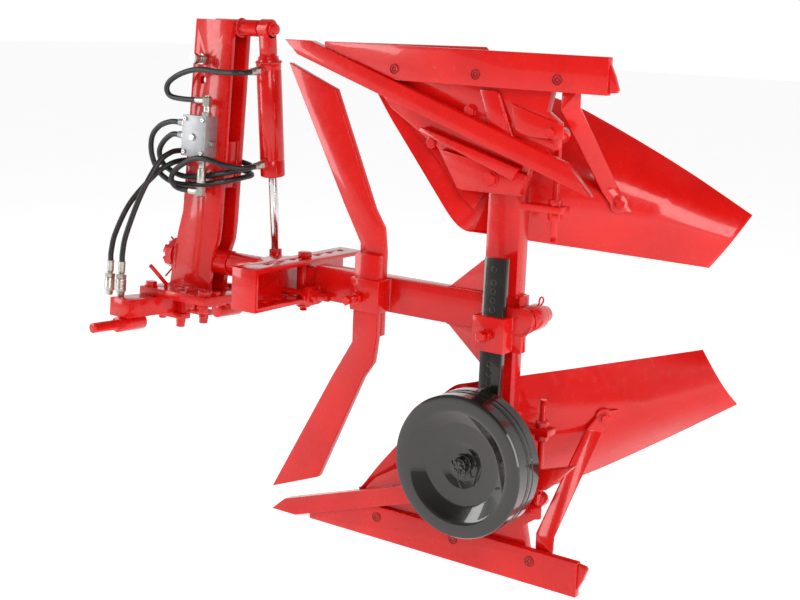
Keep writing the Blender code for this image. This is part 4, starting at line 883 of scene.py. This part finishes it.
def build_body(name, flip):
    for part, material in (("point_bar", CHIPPED), ("landside", CHIPPED), ("share", CHIPPED), ("frog", RED),
                           ("brace", RED), ("pitch_screw", RED)):
        refine(f"{part}_{name}", 0.0014, material, smooth=50.0 if part == "pitch_screw" else 40.0)
    build_moldboard(name, flip)
    shape = bmesh.new()
    for x in LANDSIDE_SCREWS:
        socket_screw(shape, (x, LANDSIDE_FACE, flip * LANDSIDE_MIDDLE), -Y, 0.0105)
    place(f"landside_screws_{name}", shape, RED, "plough", space=PLOUGH)
    # Dark rings of painted shade stand in for the shadowed grooves round each screw head and its socket.
    shape = bmesh.new()
    for x in LANDSIDE_SCREWS:
        for radius in (0.0104, 0.0050):
            spun(shape, [(radius - 0.0007, -0.0010), (radius - 0.0007, 0.0017), (radius + 0.0007, 0.0017),
                         (radius + 0.0007, -0.0010)], (x, LANDSIDE_FACE, flip * LANDSIDE_MIDDLE), -Y, 40)
    place(f"landside_seams_{name}", shape, GROOVE_SHADE, "plough", space=PLOUGH)
    shape = bmesh.new()
    slab(shape, [(1.0995, 0.556), (1.0995, 0.497), (1.117, 0.499), (1.121, 0.505), (1.111, 0.533)],
         -0.0690, -0.0570, flip, 0.0010)
    slab(shape, [(0.795, 0.486), (0.838, 0.486), (0.876, 0.393), (0.832, 0.392)], -0.0650, -0.0560, flip)
    slab(shape, [(0.655, 0.395), (0.650, 0.386), (0.893, 0.301), (0.905, 0.327)], -0.0760, -0.0560, flip)
    slab(shape, [(0.703, 0.350), (0.757, 0.269), (0.908, 0.272), (0.923, 0.314), (0.895, 0.320)],
         -0.0680, -0.0560, flip)
    slab(shape, [(0.872, 0.462), (0.915, 0.449), (0.999, 0.424), (0.999, 0.396), (0.890, 0.394)],
         -0.0620, -0.0555, flip)
    place(f"frog_plates_{name}", shape, RED, "plough", space=PLOUGH)
    shape = bmesh.new()
    bolt(shape, (0.769, -0.0557, flip * 0.437), -Y, 0.0145, 0.5)
    bolt(shape, (0.838, -0.0680, flip * 0.298), -Y, 0.0165, 0.55)
    bolt(shape, (0.973, -0.0620, flip * 0.408), -Y, 0.0120, 0.55)
    bolt(shape, (0.672, -0.0557, flip * 0.362), -Y, 0.0120, 0.3)
    spots = [(0.16, 0.40), (0.24, 0.72), (0.36, 0.30), (0.42, 0.62)]
    for along, down in spots:
        face = mirrored(board_point(along, down), flip)
        out = mirrored(-board_back(along, down), flip)
        rod(shape, face - out * 0.0010, out, 0.0016, 0.0100, segments=32, edge=0.0004)
        back = mirrored(board_back(along, down), flip)
        bolt(shape, face + back * 0.0175, back, 0.0110, 0.6)
    tip = mirrored(board_point(0.80, 0.42), flip)
    back = mirrored(board_back(0.80, 0.42), flip)
    rod(shape, tip + back * 0.0069, back, 0.0080, 0.0205, segments=40)
    bolt(shape, tip + back * 0.0152, back, 0.0120, 0.65)
    rod(shape, tip - back * 0.0006, -back, 0.0012, 0.0100, segments=32, edge=0.0004)
    for z, length in ((0.173, 0.012), (0.268, 0.010)):
        thread(shape, (0.967, -0.016, flip * z), Z * flip, length, 0.0078)
    place(f"body_bolts_{name}", shape, RED, "plough", space=PLOUGH)
    shape = bmesh.new()
    weld(shape, [(0.8405, -0.0605, flip * 0.478), (0.8775, -0.0605, flip * 0.394)], 0.0042)
    weld(shape, [(0.7935, -0.0600, flip * 0.478), (0.8305, -0.0600, flip * 0.396)], 0.0030)
    weld(shape, [(0.757, -0.0565, flip * 0.2685), (0.905, -0.0565, flip * 0.2705)], 0.0030)
    weld(shape, [(LEG_FRONT, BEAM_NEAR, flip * 0.270), (LEG_FRONT, BEAM_NEAR - 0.001, flip * 0.385)], 0.0032)
    weld(shape, [(LEG_REAR, BEAM_NEAR, flip * 0.270), (LEG_REAR, BEAM_NEAR - 0.001, flip * 0.385)], 0.0032)
    place(f"frog_welds_{name}", shape, WELD, "plough", space=PLOUGH, smooth=80.0)


build_body("lower", -1.0)
build_body("upper", 1.0)


# ---- depth wheel ----
def build_wheel():
    near, far = -0.204, -0.114
    middle = (near + far) / 2.0
    disc = [(0.034, near + 0.0300), (0.038, near + 0.0296), (0.050, near + 0.0250), (0.054, near + 0.0242),
            (0.089, near + 0.0238), (0.093, near + 0.0225), (0.1185, near + 0.0050), (0.1225, near + 0.0026),
            (0.128, near + 0.0016),
            (0.148, near + 0.0008), (0.1530, near + 0.0022), (0.1550, near + 0.0052)]
    back = [(0.1550, far - 0.0052), (0.1530, far - 0.0022), (0.148, far - 0.0008), (0.128, far - 0.0013),
            (0.1185, far - 0.0040), (0.092, far - 0.0150), (0.060, far - 0.0165), (0.040, far - 0.0120)]
    tread = [(0.1550, middle - 0.016), (0.1535, middle - 0.014), (0.1535, middle - 0.006),
             (0.1550, middle - 0.004), (0.1550, middle - 0.0012), (0.1528, middle), (0.1550, middle + 0.0012),
             (0.1550, middle + 0.004), (0.1535, middle + 0.006), (0.1535, middle + 0.014),
             (0.1550, middle + 0.016)]
    shape = bmesh.new()
    spun(shape, [(0.0192, near + 0.0300)] + disc + tread + back + [(0.034, far), (0.0192, far)],
         (0.0, 0.0, 0.0), Y, 128)
    place("wheel_finished", shape, BLACK, "wheel", ("wheel",), 24.0, WHEEL)
    refine("wheel_strut", 0.0014, BLACK)
    shape = bmesh.new()
    rod(shape, (0.0, near + 0.0298, 0.0), -Y, 0.0030, 0.0230, segments=40)
    hexagon(shape, (0.0, near + 0.0270, 0.0), -Y, 0.034, 0.013)
    for index in range(6):
        turn = Matrix.Rotation(math.radians(60.0 * index), 4, 'Y')
        start = turn @ Vector((0.0100, near + 0.0150, 0.0))
        rod(shape, start, -Y, 0.0080, 0.0046, segments=16)
    rod(shape, (0.0, near + 0.0150, 0.0), -Y, 0.0070, 0.0062, segments=28)
    place("spindle_nut", shape, BLACK, "wheel_arm", space=WHEEL)
    pin = near + 0.0100
    for name, points in (("spindle_pin_long", [(-0.020, pin, 0.010), (-0.012, pin, 0.004), (0.0, pin, 0.0),
                                               (0.004, pin - 0.004, -0.012), (0.006, pin - 0.005, -0.028),
                                               (0.016, pin - 0.006, -0.044)]),
                         ("spindle_pin_short", [(0.0, pin + 0.001, 0.0), (0.014, pin, -0.002),
                                                (0.021, pin - 0.001, -0.012), (0.018, pin - 0.002, -0.026),
                                                (0.024, pin - 0.002, -0.032)])):
        wire(name, points, 0.0015, BLACK, "wheel_arm", 0.002, WHEEL)
    shape = bmesh.new()
    for z in (0.020, 0.040, 0.060, 0.080, 0.108, -0.100, -0.122, -0.144):
        spun(shape, [(0.0004, -0.0004), (0.0050, -0.0002), (0.0064, 0.0010), (0.0072, 0.0008),
                     (0.0076, -0.0010), (0.0004, -0.0010)], (-0.057, -0.0841, z), -Y, 32)
    place("strut_hole_rims", shape, STEEL, "wheel_arm", space=ARM)
    shape = bmesh.new()
    thread(shape, (-0.057, -0.098, -0.032), -Y, 0.018, 0.0088)
    hexagon(shape, (-0.057, -0.108, -0.032), -Y, 0.026, 0.009)
    hexagon(shape, (-0.057, -0.120, -0.032), -Y, 0.021, 0.012)
    spun(shape, [(0.0290, 0.0), (0.0305, 0.0), (0.0305, 0.003), (0.0290, 0.003)],
         (0.0, -0.045, 0.0), Y, 40)
    spun(shape, [(0.0192, 0.0), (0.0270, 0.0), (0.0275, 0.0006), (0.0275, 0.0030), (0.0192, 0.0030)],
         (0.0, 0.0130, 0.0), Y, 40)
    place("bracket_screws", shape, RED, "wheel_arm", space=ARM)
    ring = ring_points((0.0, 0.028, 0.031), X, 0.0095, 0.0, 330.0, 20)
    wire("arm_linch_pin", [(0.0, 0.028, -0.026), (0.0, 0.028, 0.0), (0.0, 0.028, 0.020)] + ring[:18],
         0.0020, RED, "wheel_arm", 0.002, ARM)
    shape = bmesh.new()
    weld(shape, [(-0.018, -0.062, 0.004), (-0.018, -0.062, -0.066)], 0.0032)
    weld(shape, ring_points((0.0, -0.0625, 0.0), Y, 0.0295, 200.0, 160.0), 0.0030)
    place("bracket_welds", shape, WELD, "wheel_arm", space=ARM, smooth=80.0)


build_wheel()


# ---- floor, backdrop and light ----
FLOOR_GLOW = 0.72
AWAY_FROM_CAMERA = (-0.574, 0.819, 0.0)


def build_studio():
    floor = Finish("studio_floor", Roughness=0.9, Specular_IOR_Level=0.1, Emission_Strength=FLOOR_GLOW,
                   Emission_Color=(1.0, 1.0, 1.0, 1.0))
    pale = floor.blend(floor.noise(1.5, 3.0).band(0.3, 0.7), (0.86, 0.86, 0.86), (0.88, 0.88, 0.88))
    floor.set(Base_Color=pale)
    bpy.ops.mesh.primitive_plane_add(size=60.0, location=(0.0, 0.0, 0.0))
    ground = bpy.context.object
    ground.name = "studio_ground"
    ground.data.materials.append(floor.material)
    world = bpy.data.worlds.new("studio")
    world.use_nodes = True
    tree = world.node_tree
    sky = tree.nodes.new("ShaderNodeTexCoord")
    height = tree.nodes.new("ShaderNodeSeparateXYZ")
    tree.links.new(sky.outputs["Generated"], height.inputs[0])
    facing = tree.nodes.new("ShaderNodeVectorMath")
    facing.operation = 'DOT_PRODUCT'
    facing.inputs[1].default_value = AWAY_FROM_CAMERA
    tree.links.new(sky.outputs["Generated"], facing.inputs[0])
    shades = []
    for source, low, high, start, end in ((height.outputs["Z"], 0.25, 0.60, 1.0, 0.30),
                                          (facing.outputs["Value"], -0.10, 0.45, 0.30, 1.0)):
        fade = tree.nodes.new("ShaderNodeMapRange")
        for socket, value in zip(fade.inputs, (0.0, low, high, start, end)):
            socket.default_value = value
        tree.links.new(source, fade.inputs["Value"])
        shades.append(fade.outputs["Result"])
    both = tree.nodes.new("ShaderNodeMath")
    both.operation = 'MULTIPLY'
    tree.links.new(shades[0], both.inputs[0])
    tree.links.new(shades[1], both.inputs[1])
    tree.links.new(both.outputs["Value"], tree.nodes["Background"].inputs["Strength"])
    tree.nodes["Background"].inputs["Color"].default_value = (1.0, 1.0, 1.0, 1.0)
    bpy.context.scene.world = world
    bpy.context.scene.view_settings.view_transform = 'Standard'
    for name, at, size, power in (("key", (2.2, -2.6, 3.0), (1.5, 2.0), 62.0),
                                  ("left", (-2.8, -2.2, 1.6), (0.9, 2.4), 42.0),
                                  ("right", (3.2, -0.6, 1.5), (0.7, 2.4), 34.0)):
        data = bpy.data.lights.new(name, 'AREA')
        data.shape = 'RECTANGLE'
        data.size, data.size_y = size
        data.energy = power
        lamp = bpy.data.objects.new(name, data)
        bpy.context.scene.collection.objects.link(lamp)
        lamp.location = at
        lamp.rotation_euler = (Vector((0.0, 0.0, 0.6)) - Vector(at)).to_track_quat('-Z', 'Y').to_euler()


build_studio()
